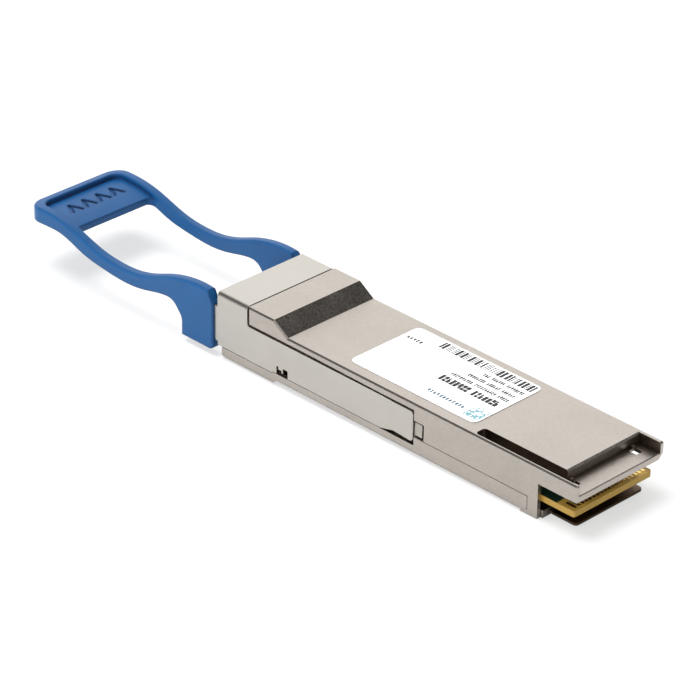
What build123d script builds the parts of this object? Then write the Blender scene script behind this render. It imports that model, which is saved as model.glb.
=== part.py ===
"""Pluggable optical transceiver module for a parallel-fibre plug, lying label side up.

Millimetres. +X is the direction in which the module is pushed into its cage: the pull tab is
at -X and the card edge at +X. +Z is up, out of the label face. The origin is the centre of the
footprint at the level of the nose foot, the lowest point.
"""
import os

from build123d import *

os.makedirs("parts", exist_ok=True)

# ---------------------------------------------------------------- overall sizes
body_length = 72.4          # nose face to the end of the shelf
body_width = 18.35
body_height = 8.5           # heat-sink face to label face
nose_drop = 0.6             # nose foot below the heat-sink face
tab_reach = 44.8            # pull tab beyond the nose face

# ---------------------------------------------------------------- housing
parting_height = 3.0        # joint between the two shells, above the heat-sink face
floor_thickness = 1.2
roof_thickness = 1.3
side_wall = 1.62            # wall beside the arm channels
rear_side_wall = 0.72       # wall beside the wide part of the board
front_cavity_start = 13.2   # from the nose face
rear_cavity_start = 43.0    # from the nose face
thick_roof_length = 21.5    # roof under the groove and tray, from the shelf end
slope_top = 11.3            # nose block's flat top ends here, from the nose face
slope_foot = 14.3           # slope meets the label face here
foot_length = 10.8
foot_ramp = 0.8
bottom_chamfer = 0.45
edge_break = 0.24
parting_break = 0.13        # bevel that shows the joint line between the shells
front_corner = 0.3          # rounded vertical corners of the shelf

# card-edge end
edge_exposure = 7.3         # side walls stop this far short of the shelf end
shelf_thickness = 2.7
shelf_corner_chamfer = 1.1
tray_length = 4.0
tray_depth = 1.7
tray_far_wall = 0.78
rim_thickness = 0.42        # rim between the keying groove and the side
groove_length = 20.0
groove_width = 2.0
groove_corner = 0.6
tongue_length = 1.9         # stretch of side wall where the upper shell reaches the bottom
hook_height = 0.75          # hooked end of the lower shell's wall
hook_reach = 1.3
hook_gap = 0.1              # between the hooked ends of the two shells
lip_width = 14.2            # thin lip under the card edge
lip_thickness = 0.4
lip_height = 0.4
lip_setback = 1.7
lip_corner = 0.6
lip_root = 0.4              # the floor runs this far past the side walls
tray_hole = (0.9, 0.45)     # small hole at the groove's side of the tray floor
tray_hole_place = (2.65, -6.2)  # from the shelf end, and from the centre plane
tray_window = (1.5, 1.3)    # larger window at the other side, where the floor is thin
tray_window_place = (2.75, 6.2)
window_floor = 0.45         # floor thickness round the window
window_margin = 0.6
tray_block = (0.7, 0.5, 0.5)  # small stops in the tray's back corners
tray_block_spacing = 12.9
shelf_break = 0.12

# ---------------------------------------------------------------- release slider
sheet = 0.35                # sheet thickness
slide_gap = 0.08            # slider to housing, each face
slider_overhang = 0.9       # slider's front edge beyond the nose face
seam_offset = 5.6           # back edge of the slider's top plate, from the nose face
seam_gap = 0.24
seam_corner = 0.5           # inner corner where the arm leaves the nose plate
bend_radius = 0.85
plate_height = 1.35         # lower edge of the side plates, above the heat-sink face
plate_length = 11.1         # side plates' deeper stretch, from the nose face
arm_low = 1.6               # lower edge of the arms
arm_high = 7.1              # upper edge of the arms
arm_gap_top = 0.26          # above the arm, beside the nose
gap_taper = 15.0            # the gap narrows over this length, up to the flare
arm_end = 40.6              # from the nose face
flare_start = 33.8
flare = 0.12
flare_ramp = 2.9
arm_tip_rise = (0.75, 0.5)  # how far the tip's lower edge stands up, at its start and its end
arm_corner = 0.6
ear_length = 4.7            # ears inside the pull tab
ear_low = 2.0
ear_high = 7.9

# latch pocket behind the arm tip
pocket_start = 34.2
pocket_end = 42.7
pocket_depth = 0.85
pocket_boss_depth = 0.15    # the boss in the pocket stops this far below the side face
pocket_boss_gap = 0.28
pocket_top = 5.7

# return springs and the fingers that press them
spring_pocket_start = 6.2
spring_pocket_low = 1.7
spring_pocket_inner = 7.5   # from the centre plane
tongue_height = 0.45        # small tongue at the notch's top that carries the finger
tongue_margin = 0.3
finger_position = 12.7      # spring side of the finger, from the nose face
finger_gap = 0.04
notch_start = 12.0
notch_length = 2.4
notch_top = 2.9
spring_diameter = 1.1
spring_wire = 0.2
spring_turns = 9
spring_end_gap = 0.1

# ---------------------------------------------------------------- fibre port
port_width = 12.5
port_height = 8.0
port_floor = 0.42           # housing under the receptacle, above the heat-sink face
port_roof = 0.42            # housing between the receptacle and the slider's top plate
receptacle_width = 14.0
receptacle_wall = 0.56      # above and below the port
receptacle_length = 12.0
receptacle_setback = 0.2
receptacle_back = 1.0
seat_gap = 0.02
keyway_width = 3.1
keyway_depth = 0.3
keyway_length = 5.0
gasket_setback = 5.5
gasket_width = 1.2
gasket_depth = 0.3
latch_plate = 1.0
latch_plate_size = (11.4, 6.6)
latch_arm_length = 6.6
latch_arm_height = 3.0
latch_arm_thickness = 0.75
latch_arm_spacing = 10.6    # between the arms' outer faces
latch_hook = 0.45

ferrule_width = 6.4
ferrule_height = 2.5
ferrule_length = 8.0
ferrule_shoulder = (7.0, 3.0, 2.0)
ferrule_clearance = 0.05
pin_diameter = 0.7
pin_spacing = 4.6
pin_protrusion = 2.0
pin_clearance = 0.005
pin_chamfer = 0.14
clamp_thickness = 1.2
clamp_size = (6.8, 3.0)
boot_length = 3.0
boot_size = (5.2, 2.2)
boot_end_size = (4.7, 1.6)
boot_corner = 0.4
bulkhead_opening = (8.4, 4.0)

# ---------------------------------------------------------------- board and what it carries
board_thickness = 1.0
board_underside = 2.55      # above the heat-sink face
board_start = 17.6          # from the nose face
board_setback = 1.2         # card edge short of the shelf end
card_edge_width = 16.42
card_edge_corner = 0.4
board_side_gap = 0.15
rail_width = 0.8
contact_count = 19
contact_pitch = 0.8
contact_width = 0.54
contact_length = 1.9
contact_thickness = 0.05
contact_setback = 0.55      # pads start this far from the card edge

processor_size = (9.0, 9.0, 0.9)
processor_position = 36.0   # from the nose face
controller_size = (5.0, 5.0, 0.85)
controller_position = 49.0
driver_size = (3.4, 2.8, 0.5)
driver_position = 32.0
lens_block_size = (4.2, 5.0, 2.2)
lens_block_position = 27.0
lens_cavity = (2.6, 3.6, 0.7)
lens_chamfer = 0.9
array_size = (1.6, 2.6, 0.3)
channel_offset = 3.3        # transmit side at +Y, receive side at -Y
inductor_size = (2.5, 2.0, 1.1)
inductor_position = 55.5
inductor_spacing = 4.2
capacitor_position = 41.5
capacitor_size = (1.0, 0.5, 0.5)
capacitor_grid = (1.7, 2.6)
capacitor_row_setback = 1.6
ribbon_width = 1.6
ribbon_thickness = 0.3
ribbon_offset = 1.7         # from the centre plane
ribbon_hump = 0.8
ribbon_bend = 0.75          # bend radius, as a share of each fifth of its run
ribbon_height = 1.3         # where it enters the lens block, above the board

screw_position = 15.6       # from the nose face
screw_spacing = 12.0
screw_radius = 0.8
screw_head_radius = 1.4
screw_length = 5.2
screw_clearance = 0.1
screw_end_gap = 0.3
screw_slot = 0.35
boss_radius = 1.5

label_length = 25.3
label_width = 14.6
label_offset = 21.8         # from the shelf end
label_shift = 0.2
label_thickness = 0.1
label_corner = 1.1

# ---------------------------------------------------------------- pull tab
tab_overlap = 0.425         # the tab stands this far out from each side of the body
tab_arm = 1.6               # thickness of each arm
tab_back = 1.6              # the tab's end face stops this far short of the nose face
tab_corner = 3.0
tab_edge = 0.45             # rounding of the long edges along the top
tab_end_edge = 0.3
tab_inner_edge = 0.3
rim_edge = 0.2
window_start = 9.9          # pad length, from the tip
window_corner = 1.2
rim_width = 1.7
panel_depth = 0.9
panel_corner = 1.9
mark_count = 4
mark_pitch = 2.9
mark_size = 0.95            # half a chevron's width
mark_rise = 1.0             # half its height
mark_shift = 0.5            # from the panel's middle towards the tip
mark_stroke = 0.62
mark_depth = 0.35
tab_heel = 6.85             # length of the tab's foot, beside the nose
tab_heel_height = 2.2       # the foot's straight front ends here
tab_foot = 0.1              # its lower edge, above the heat-sink face
tab_crown = 10.05           # top of the end face
tab_lean = 1.1              # the end face leans back by this much above the ears
tab_heel_corner = 0.9       # rounded lower corner beside the nose
# Side view of the arms: distance behind the tab's end face, height above the heat-sink face.
arm_top_curve = [(7.05, 9.75), (10.65, 8.75), (13.65, 7.6), (17.55, 6.55), (22.25, 6.3),
                 (26.95, 6.9), (32.95, 8.65), (38.15, 9.35)]
arm_bottom_curve = [(38.15, 6.95), (34.95, 6.85), (29.75, 5.3), (24.75, 4.45), (20.35, 4.1),
                    (15.85, 4.45), (11.95, 5.3), (10.35, 5.5)]
heel_curve = [(10.35, 5.5), (8.65, 5.1), (7.5, 3.9)]
tip_thickness = (9.0, 6.75)  # heights of the tip's two edges

# ---------------------------------------------------------------- derived places
end_x = (body_length + tab_reach) / 2
nose_x = end_x - body_length
tip_x = -end_x
half_width = body_width / 2
base_z = nose_drop
face_z = base_z + body_height
port_z = base_z + port_floor + seat_gap + receptacle_wall + port_height / 2
nose_z = port_z + port_height / 2 + receptacle_wall + seat_gap + port_roof + slide_gap + sheet
parting_z = base_z + parting_height
rear_x = end_x - edge_exposure
tongue_x = rear_x - tongue_length
shelf_z = face_z - shelf_thickness
tray_z = face_z - tray_depth
cavity_half = half_width - side_wall
rear_cavity_half = half_width - rear_side_wall
cavity_x = nose_x + front_cavity_start
rear_cavity_x = nose_x + rear_cavity_start
thick_roof_x = end_x - thick_roof_length
channel_y = half_width - sheet - slide_gap
plate_y = half_width - sheet
slider_front_x = nose_x - slider_overhang
seam_x = nose_x + seam_offset
receptacle_end_x = nose_x + receptacle_length
ferrule_end_x = receptacle_end_x + ferrule_shoulder[2]
ferrule_face_x = ferrule_end_x - ferrule_length
boot_x = ferrule_end_x + clamp_thickness
board_low_z = base_z + board_underside
board_top_z = board_low_z + board_thickness
board_end_x = end_x - board_setback
outside = 1.0               # how far a cut runs past the face it opens


def hook_points(back_x):
    """Side view of a shell's hooked end whose upright stretch stands at back_x, upwards."""
    return [
        (back_x - hook_reach, base_z),
        (back_x - hook_reach, base_z + hook_height / 2),
        (back_x, base_z + hook_height),
        (back_x, parting_z),
    ]


def block(x_range, y_range, z_range, mode=Mode.ADD):
    """A box between two corners, joined to or cut from the part being built."""
    (x_low, x_high), (y_low, y_high), (z_low, z_high) = x_range, y_range, z_range
    with Locations(((x_low + x_high) / 2, (y_low + y_high) / 2, (z_low + z_high) / 2)):
        Box(x_high - x_low, y_high - y_low, z_high - z_low, mode=mode)


def block_pair(x_range, y_range, z_range, mode=Mode.ADD):
    """The same box on both sides of the centre plane."""
    block(x_range, y_range, z_range, mode)
    block(x_range, (-y_range[1], -y_range[0]), z_range, mode)


def save(piece, name):
    """Label a finished piece and write it out."""
    piece.part.label = name
    export_step(piece.part, f"parts/{name}.step")


# ================================================================ lower housing
with BuildPart() as lower_housing:
    with BuildSketch(Plane.XZ):
        with BuildLine():
            Polyline(
                (nose_x, 0),
                (nose_x + foot_length, 0),
                (nose_x + foot_length + foot_ramp, base_z),
                *hook_points(tongue_x - hook_gap),
                (nose_x, parting_z),
                close=True,
            )
        make_face()
    extrude(amount=half_width, both=True)
    chamfer(
        lower_housing.edges().filter_by(Axis.X).group_by(Axis.Z)[0]
        + lower_housing.edges().filter_by(Axis.X).filter_by_position(
            Axis.Z, base_z - 0.01, base_z + 0.01),
        length=bottom_chamfer,
    )
    # bevel along the joint with the upper shell
    chamfer(
        lower_housing.edges().filter_by(Axis.X).filter_by_position(
            Axis.Z, parting_z - 0.01, parting_z + 0.01),
        length=parting_break,
    )
    # floor between the upper shell's tongues, then the thin lip under the card edge
    block((tongue_x - 2 * hook_reach, rear_x + lip_root),
          (-rear_cavity_half + slide_gap, rear_cavity_half - slide_gap),
          (base_z, base_z + floor_thickness))
    with BuildSketch(Plane.XY.offset(base_z + lip_height)) as lip_plan:
        with Locations(((rear_x + end_x - lip_setback) / 2, 0)):
            Rectangle(end_x - lip_setback - rear_x, lip_width)
        fillet(lip_plan.vertices().group_by(Axis.X)[-1], radius=lip_corner)
    extrude(amount=lip_thickness)
    # board cavity
    block((cavity_x, rear_cavity_x), (-cavity_half, cavity_half),
          (base_z + floor_thickness, parting_z), Mode.SUBTRACT)
    block((rear_cavity_x, tongue_x), (-rear_cavity_half, rear_cavity_half),
          (base_z + floor_thickness, parting_z), Mode.SUBTRACT)
    # rails that the board rests on
    block_pair((nose_x + board_start + 1, rear_cavity_x), (cavity_half - rail_width, cavity_half),
               (base_z + floor_thickness, board_low_z))
    block_pair((rear_cavity_x, tongue_x - 1), (rear_cavity_half - rail_width, rear_cavity_half),
               (base_z + floor_thickness, board_low_z))
    # seat of the port receptacle
    block((nose_x - outside, receptacle_end_x + seat_gap),
          (-receptacle_width / 2 - seat_gap, receptacle_width / 2 + seat_gap),
          (port_z - port_height / 2 - receptacle_wall - seat_gap, parting_z), Mode.SUBTRACT)
    block((receptacle_end_x, boot_x), (-bulkhead_opening[0] / 2, bulkhead_opening[0] / 2),
          (port_z - bulkhead_opening[1] / 2, port_z), Mode.SUBTRACT)
    # channels for the side plates and arms, pockets behind the tips, spring pockets
    block_pair((nose_x - outside, nose_x + plate_length + slide_gap), (channel_y, half_width + outside),
               (base_z + plate_height - slide_gap, parting_z), Mode.SUBTRACT)
    block_pair((nose_x, nose_x + arm_end + slide_gap), (channel_y, half_width + outside),
               (base_z + arm_low - slide_gap, parting_z), Mode.SUBTRACT)
    block_pair((nose_x + pocket_start, nose_x + arm_end + slide_gap),
               (half_width - pocket_depth, half_width + outside),
               (base_z + arm_low - slide_gap, parting_z), Mode.SUBTRACT)
    block_pair((nose_x + spring_pocket_start, nose_x + notch_start + notch_length),
               (spring_pocket_inner, half_width), (base_z + spring_pocket_low, parting_z),
               Mode.SUBTRACT)
    # screw bosses with countersunk holes in the heat-sink face
    with BuildSketch(Plane.XY.offset(base_z)):
        with Locations((nose_x + screw_position, 0)):
            with GridLocations(0, screw_spacing, 1, 2):
                Circle(boss_radius)
    extrude(amount=parting_height)
    with Locations(Plane.XY.offset(base_z)):
        with Locations((nose_x + screw_position, 0)):
            with GridLocations(0, screw_spacing, 1, 2):
                Cylinder(screw_radius + screw_clearance, parting_height,
                         align=(Align.CENTER, Align.CENTER, Align.MIN), mode=Mode.SUBTRACT)
                Cone(screw_head_radius + screw_clearance, screw_radius + screw_clearance,
                     screw_head_radius - screw_radius,
                     align=(Align.CENTER, Align.CENTER, Align.MIN), mode=Mode.SUBTRACT)
save(lower_housing, "lower_housing")

# ================================================================ upper housing
with BuildPart() as upper_housing:
    with BuildSketch(Plane.XZ):
        with BuildLine():
            Polyline(
                (nose_x, parting_z),
                (nose_x, nose_z - sheet - slide_gap),
                (seam_x + seam_gap, nose_z - sheet - slide_gap),
                (seam_x + seam_gap, nose_z),
                (nose_x + slope_top, nose_z),
                (nose_x + slope_foot, face_z),
                (end_x, face_z),
                (end_x, shelf_z),
                (rear_x, shelf_z),
                (rear_x, base_z),
                *hook_points(tongue_x),
                close=True,
            )
        make_face()
    extrude(amount=half_width, both=True)
    # far lower corner of the shelf, then its rounded upright corners
    chamfer(
        upper_housing.edges().filter_by(Axis.X).filter_by_position(
            Axis.Z, shelf_z - 0.01, shelf_z + 0.01).filter_by_position(
            Axis.X, rear_x, end_x).sort_by(Axis.Y)[-1],
        length=shelf_corner_chamfer,
    )
    fillet(
        upper_housing.edges().filter_by(Axis.Z).filter_by_position(
            Axis.X, end_x - 0.01, end_x + 0.01),
        radius=front_corner,
    )
    # board cavity
    block((cavity_x, rear_cavity_x), (-cavity_half, cavity_half),
          (parting_z - outside, face_z - roof_thickness), Mode.SUBTRACT)
    block((rear_cavity_x, thick_roof_x), (-rear_cavity_half, rear_cavity_half),
          (parting_z - outside, face_z - roof_thickness), Mode.SUBTRACT)
    block((thick_roof_x, rear_x + outside), (-rear_cavity_half, rear_cavity_half),
          (base_z - outside, shelf_z), Mode.SUBTRACT)
    # seat of the port receptacle and the opening for the ferrule behind it
    block((nose_x - outside, receptacle_end_x + seat_gap),
          (-receptacle_width / 2 - seat_gap, receptacle_width / 2 + seat_gap),
          (parting_z - outside, port_z + port_height / 2 + receptacle_wall + seat_gap), Mode.SUBTRACT)
    block((receptacle_end_x, boot_x), (-bulkhead_opening[0] / 2, bulkhead_opening[0] / 2),
          (port_z - bulkhead_opening[1] / 2, port_z + bulkhead_opening[1] / 2), Mode.SUBTRACT)
    # recesses for the slider's side plates and arms
    block_pair((nose_x - outside, seam_x + seam_gap), (channel_y, half_width + outside),
               (parting_z - outside, nose_z + outside), Mode.SUBTRACT)
    for side in (1, -1):
        with BuildSketch(Plane.XZ.offset(-side * channel_y)):
            with BuildLine():
                Polyline(
                    (nose_x, parting_z - outside),
                    (nose_x, base_z + arm_high + arm_gap_top),
                    (nose_x + flare_start - gap_taper, base_z + arm_high + arm_gap_top),
                    (nose_x + flare_start, base_z + arm_high + slide_gap),
                    (nose_x + arm_end + slide_gap, base_z + arm_high + slide_gap),
                    (nose_x + arm_end + slide_gap, parting_z - outside),
                    close=True,
                )
            make_face()
        extrude(amount=-side * (half_width + outside - channel_y), mode=Mode.SUBTRACT)
    block_pair((nose_x + pocket_start, nose_x + pocket_end),
               (half_width - pocket_depth, half_width + outside),
               (parting_z, base_z + pocket_top), Mode.SUBTRACT)
    block_pair((nose_x + arm_end + pocket_boss_gap / 2,
                nose_x + pocket_end - pocket_boss_gap - pocket_boss_depth),
               (half_width - pocket_depth, half_width - pocket_boss_depth),
               (parting_z + pocket_boss_gap, base_z + pocket_top - pocket_boss_gap))
    fillet(
        upper_housing.edges().filter_by(Axis.Y).filter_by_position(
            Axis.X, seam_x + seam_gap - 0.01, seam_x + seam_gap + 0.01).filter_by_position(
            Axis.Z, parting_z, face_z),
        radius=seam_corner - seam_gap,
    )
    # rounded shoulders under the slider's bends
    fillet(
        upper_housing.edges().filter_by(Axis.X).filter_by_position(
            Axis.Z, nose_z - sheet - slide_gap - 0.01, nose_z - sheet - slide_gap + 0.01
        ).group_by(SortBy.LENGTH)[-1],
        radius=bend_radius - sheet,
    )
    # keying groove and tray, with a small hole and a window in the tray floor
    with BuildSketch(Plane.XY.offset(face_z)):
        with Locations((end_x - groove_length / 2 + outside / 2,
                        -half_width + rim_thickness + groove_width / 2)):
            RectangleRounded(groove_length + outside, groove_width, groove_corner)
        with Locations((end_x - tray_length / 2 + outside / 2,
                        (rim_thickness - tray_far_wall) / 2)):
            Rectangle(tray_length + outside, body_width - rim_thickness - tray_far_wall)
    extrude(amount=-tray_depth, mode=Mode.SUBTRACT)
    with BuildSketch(Plane.XY.offset(tray_z)):
        with Locations((end_x - tray_hole_place[0], tray_hole_place[1])):
            Rectangle(*tray_hole)
        with Locations((end_x - tray_window_place[0], tray_window_place[1])):
            Rectangle(*tray_window)
    extrude(amount=-shelf_thickness, mode=Mode.SUBTRACT)
    with BuildSketch(Plane.XY.offset(tray_z - window_floor)):
        with Locations((end_x - tray_window_place[0], tray_window_place[1])):
            Rectangle(tray_window[0] + 2 * window_margin, tray_window[1] + 2 * window_margin)
    extrude(amount=-shelf_thickness, mode=Mode.SUBTRACT)
    with Locations((end_x - tray_length + tray_block[0] / 2, 0, tray_z + tray_block[2] / 2)):
        with GridLocations(0, tray_block_spacing, 1, 2):
            Box(*tray_block)
    # small bevels on the tray's back edge and on its floor's front edge
    chamfer(
        upper_housing.edges().filter_by(Axis.Y).filter_by_position(
            Axis.X, end_x - tray_length - 0.01, end_x - tray_length + 0.01).group_by(Axis.Z)[-1],
        length=edge_break,
    )
    chamfer(
        upper_housing.edges().filter_by(Axis.Y).filter_by_position(
            Axis.X, end_x - 0.01, end_x + 0.01).filter_by_position(
            Axis.Z, tray_z - 0.01, tray_z + 0.01),
        length=shelf_break,
    )
    # light edge break along the label face, nose and slope
    chamfer(
        upper_housing.edges().filter_by_position(Axis.Y, half_width - 0.01, half_width + 0.01)
        .filter_by_position(Axis.Z, face_z - 0.01, nose_z + 0.01)
        + upper_housing.edges().filter_by_position(Axis.Y, -half_width - 0.01, -half_width + 0.01)
        .filter_by_position(Axis.Z, face_z - 0.01, nose_z + 0.01),
        length=edge_break,
    )
    # tapped screw bosses
    with BuildSketch(Plane.XY.offset(parting_z)):
        with Locations((nose_x + screw_position, 0)):
            with GridLocations(0, screw_spacing, 1, 2):
                Circle(boss_radius)
    extrude(amount=face_z - roof_thickness - parting_z)
    with BuildSketch(Plane.XY.offset(parting_z)):
        with Locations((nose_x + screw_position, 0)):
            with GridLocations(0, screw_spacing, 1, 2):
                Circle(screw_radius + pin_clearance)
    extrude(amount=screw_length - parting_height + screw_end_gap, mode=Mode.SUBTRACT)
save(upper_housing, "upper_housing")

# ================================================================ release slider
with BuildPart() as delatch_slider:
    # top plate and side plates, one bent sheet
    with BuildSketch(Plane.YZ.offset(slider_front_x)):
        with BuildLine():
            FilletPolyline(
                (-half_width, base_z + plate_height),
                (-half_width, nose_z),
                (half_width, nose_z),
                (half_width, base_z + plate_height),
                radius=bend_radius,
            )
            offset(amount=-sheet, side=Side.RIGHT)
        make_face()
    extrude(amount=seam_x - slider_front_x)
    # deeper stretch of the side plates and the two arms
    block_pair((seam_x, nose_x + plate_length), (plate_y, half_width),
               (base_z + plate_height, base_z + arm_high))
    block_pair((nose_x + plate_length, nose_x + flare_start), (plate_y, half_width),
               (base_z + arm_low, base_z + arm_high))
    fillet(
        delatch_slider.edges().filter_by(Axis.Y).filter_by_position(
            Axis.X, seam_x - 0.01, seam_x + 0.01).filter_by_position(
            Axis.Z, base_z + arm_high - 0.01, base_z + arm_high + 0.01),
        radius=seam_corner,
    )
    # flared tips
    for side in (1, -1):
        with BuildSketch(Plane.XY.offset(base_z + arm_low)):
            with BuildLine():
                Polyline(
                    (nose_x + flare_start, side * plate_y),
                    (nose_x + flare_start, side * half_width),
                    (nose_x + flare_start + flare_ramp, side * (half_width + flare)),
                    (nose_x + arm_end, side * (half_width + flare)),
                    (nose_x + arm_end, side * (plate_y + flare)),
                    (nose_x + flare_start + flare_ramp, side * (plate_y + flare)),
                    close=True,
                )
            make_face()
        extrude(amount=arm_high - arm_low)
    with BuildSketch(Plane.XZ):
        with BuildLine():
            Polyline(
                (nose_x + flare_start, base_z + arm_low),
                (nose_x + flare_start + flare_ramp, base_z + arm_low + arm_tip_rise[0]),
                (nose_x + arm_end, base_z + arm_low + arm_tip_rise[1]),
                (nose_x + arm_end + outside, base_z + arm_low + arm_tip_rise[1]),
                (nose_x + arm_end + outside, base_z + arm_low - outside),
                (nose_x + flare_start, base_z + arm_low - outside),
                close=True,
            )
        make_face()
    extrude(amount=half_width + flare + outside, both=True, mode=Mode.SUBTRACT)
    fillet(
        delatch_slider.edges().filter_by(Axis.Y).filter_by_position(
            Axis.X, nose_x + arm_end - 0.01, nose_x + arm_end + 0.01),
        radius=arm_corner,
    )
    # notches with the bent-in fingers that press the return springs
    block_pair((nose_x + notch_start, nose_x + notch_start + notch_length),
               (plate_y, half_width), (base_z + arm_low, base_z + notch_top), Mode.SUBTRACT)
    block_pair((nose_x + finger_position, nose_x + finger_position + sheet),
               (spring_pocket_inner + slide_gap, plate_y),
               (base_z + spring_pocket_low + slide_gap, parting_z - slide_gap))
    block_pair((nose_x + finger_position - tongue_margin,
                nose_x + finger_position + sheet + tongue_margin),
               (plate_y, half_width), (base_z + notch_top - tongue_height, base_z + notch_top))
    # ears that the pull tab is moulded on
    block_pair((slider_front_x - ear_length, slider_front_x), (plate_y, half_width),
               (base_z + ear_low, base_z + ear_high))
save(delatch_slider, "delatch_slider")

# ================================================================ pull tab
tab_end_x = nose_x - tab_back
tab_length = tab_reach - tab_back
tab_half = half_width + tab_overlap
window_x = tip_x + window_start
panel_x = tip_x + rim_width


def tab_point(behind, height):
    """A point of the tab's side view in the model's frame."""
    return (tab_end_x - behind, base_z + height)


top_points = [tab_point(tab_lean, tab_crown)] + [tab_point(*p) for p in arm_top_curve]
top_points.append(tab_point(tab_length, tip_thickness[0]))
bottom_points = [tab_point(tab_length, tip_thickness[1])] + [tab_point(*p) for p in arm_bottom_curve]
heel_points = [tab_point(*p) for p in heel_curve] + [tab_point(tab_heel, tab_heel_height)]

# The sunk panel between the pad's rims: it follows the pad's top and opens into the window.
with BuildPart() as panel:
    with BuildSketch(Plane.XZ):
        with BuildLine():
            floor_line = Spline([(x, z - panel_depth) for x, z in top_points])
            Polyline(
                floor_line @ 1,
                (tip_x, nose_z + outside),
                (tab_end_x, nose_z + outside),
                floor_line @ 0,
            )
        make_face()
    extrude(amount=tab_half, both=True)
    with BuildSketch(Plane.XY) as panel_plan:
        with Locations(((panel_x + window_x + outside) / 2, 0)):
            Rectangle(window_x + outside - panel_x, 2 * (tab_half - tab_arm))
        fillet(panel_plan.vertices().group_by(Axis.X)[0], radius=panel_corner)
    extrude(amount=2 * nose_z, mode=Mode.INTERSECT)

with BuildPart() as pull_tab:
    with BuildSketch(Plane.XZ.offset(-tab_half)):
        with BuildLine():
            top_edge = Spline(top_points)
            Line(top_edge @ 1, bottom_points[0])
            bottom_edge = Spline(bottom_points)
            heel = Spline(heel_points, tangents=(bottom_edge % 1, (0, -1)))
            Polyline(
                heel @ 1,
                tab_point(tab_heel, tab_foot),
                tab_point(tab_heel_corner, tab_foot),
            )
            RadiusArc(
                tab_point(tab_heel_corner, tab_foot),
                tab_point(0, tab_foot + tab_heel_corner),
                -tab_heel_corner,
            )
            Polyline(
                tab_point(0, tab_foot + tab_heel_corner),
                tab_point(0, ear_high),
                top_edge @ 0,
            )
        make_face()
    extrude(amount=2 * tab_half)
    # rounded tip corners, seen from above
    with BuildSketch(Plane.XY) as plan:
        with Locations(((tip_x + tab_end_x) / 2, 0)):
            Rectangle(tab_length, 2 * tab_half)
        fillet(plan.vertices().group_by(Axis.X)[0], radius=tab_corner)
    extrude(amount=2 * nose_z, mode=Mode.INTERSECT)
    # rounded outer edge along the top, and beside the nose
    upper_face = pull_tab.faces().filter_by(GeomType.EXTRUSION).sort_by(Axis.Z)[-1]
    fillet(
        upper_face.edges().filter_by(GeomType.BSPLINE)
        + upper_face.edges().filter_by(GeomType.LINE).sort_by(Axis.X)[0:1],
        radius=tab_edge,
    )
    fillet(
        pull_tab.edges().filter_by(Axis.Z).filter_by_position(
            Axis.X, tab_end_x - 0.01, tab_end_x + 0.01),
        radius=tab_end_edge,
    )
    # finger window between the arms
    with BuildSketch(Plane.XY) as window:
        with Locations(((window_x + tab_end_x + outside) / 2, 0)):
            Rectangle(tab_end_x + outside - window_x, 2 * (tab_half - tab_arm))
        fillet(window.vertices().group_by(Axis.X)[0], radius=window_corner)
    extrude(amount=2 * nose_z, mode=Mode.SUBTRACT)
    add(panel.part, mode=Mode.SUBTRACT)
    # rounded inner edges of the arms, and of the panel's rim
    arm_edges = pull_tab.edges().filter_by(GeomType.BSPLINE).filter_by(
        lambda edge: abs(abs(edge.center().Y) - (tab_half - tab_arm)) < 0.01 and edge.length > tab_length / 2)
    fillet(arm_edges, radius=tab_inner_edge)
    rim_edges = pull_tab.edges().filter_by(GeomType.BSPLINE).filter_by_position(
        Axis.X, panel_x - 0.01, panel_x + 0.01).group_by(Axis.Z)[-1]
    fillet(rim_edges, radius=rim_edge)
    # grip chevrons pressed into the panel
    with BuildSketch(Plane.XY.offset(base_z + arm_top_curve[-1][1] - panel_depth - mark_depth)):
        mark_x = (panel_x + window_x) / 2 - mark_shift
        for number in range(mark_count):
            mark_y = (number - (mark_count - 1) / 2) * mark_pitch
            with BuildLine():
                Polyline(
                    (mark_x + mark_rise, mark_y - mark_size),
                    (mark_x - mark_rise, mark_y),
                    (mark_x + mark_rise, mark_y + mark_size),
                )
                offset(amount=mark_stroke / 2)
            make_face()
    extrude(amount=nose_z, mode=Mode.SUBTRACT)
    # slots that the slider's ears fill
    block_pair((slider_front_x - ear_length, tab_end_x), (plate_y, half_width),
               (base_z + ear_low, base_z + ear_high), Mode.SUBTRACT)
save(pull_tab, "pull_tab")

# ================================================================ return springs
spring_x = nose_x + spring_pocket_start + spring_end_gap
spring_length = nose_x + finger_position - finger_gap - spring_x
spring_y = (spring_pocket_inner + channel_y) / 2
spring_z = base_z + (spring_pocket_low + parting_height) / 2
coil_radius = (spring_diameter - spring_wire) / 2
for side, side_name in ((1, "left"), (-1, "right")):
    with BuildPart() as spring:
        with BuildLine():
            coil = Helix(
                pitch=(spring_length - spring_wire) / spring_turns,
                height=spring_length - spring_wire,
                radius=coil_radius,
                center=(spring_x + spring_wire / 2, side * spring_y, spring_z),
                direction=(1, 0, 0),
            )
        with BuildSketch(Plane(origin=coil @ 0, z_dir=coil % 0)):
            Circle(spring_wire / 2)
        sweep(is_frenet=True)
    save(spring, f"return_spring_{side_name}")

# ================================================================ fibre port
port_half = port_width / 2
port_low_z = port_z - port_height / 2
port_high_z = port_z + port_height / 2
port_back_x = receptacle_end_x - receptacle_back

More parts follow.
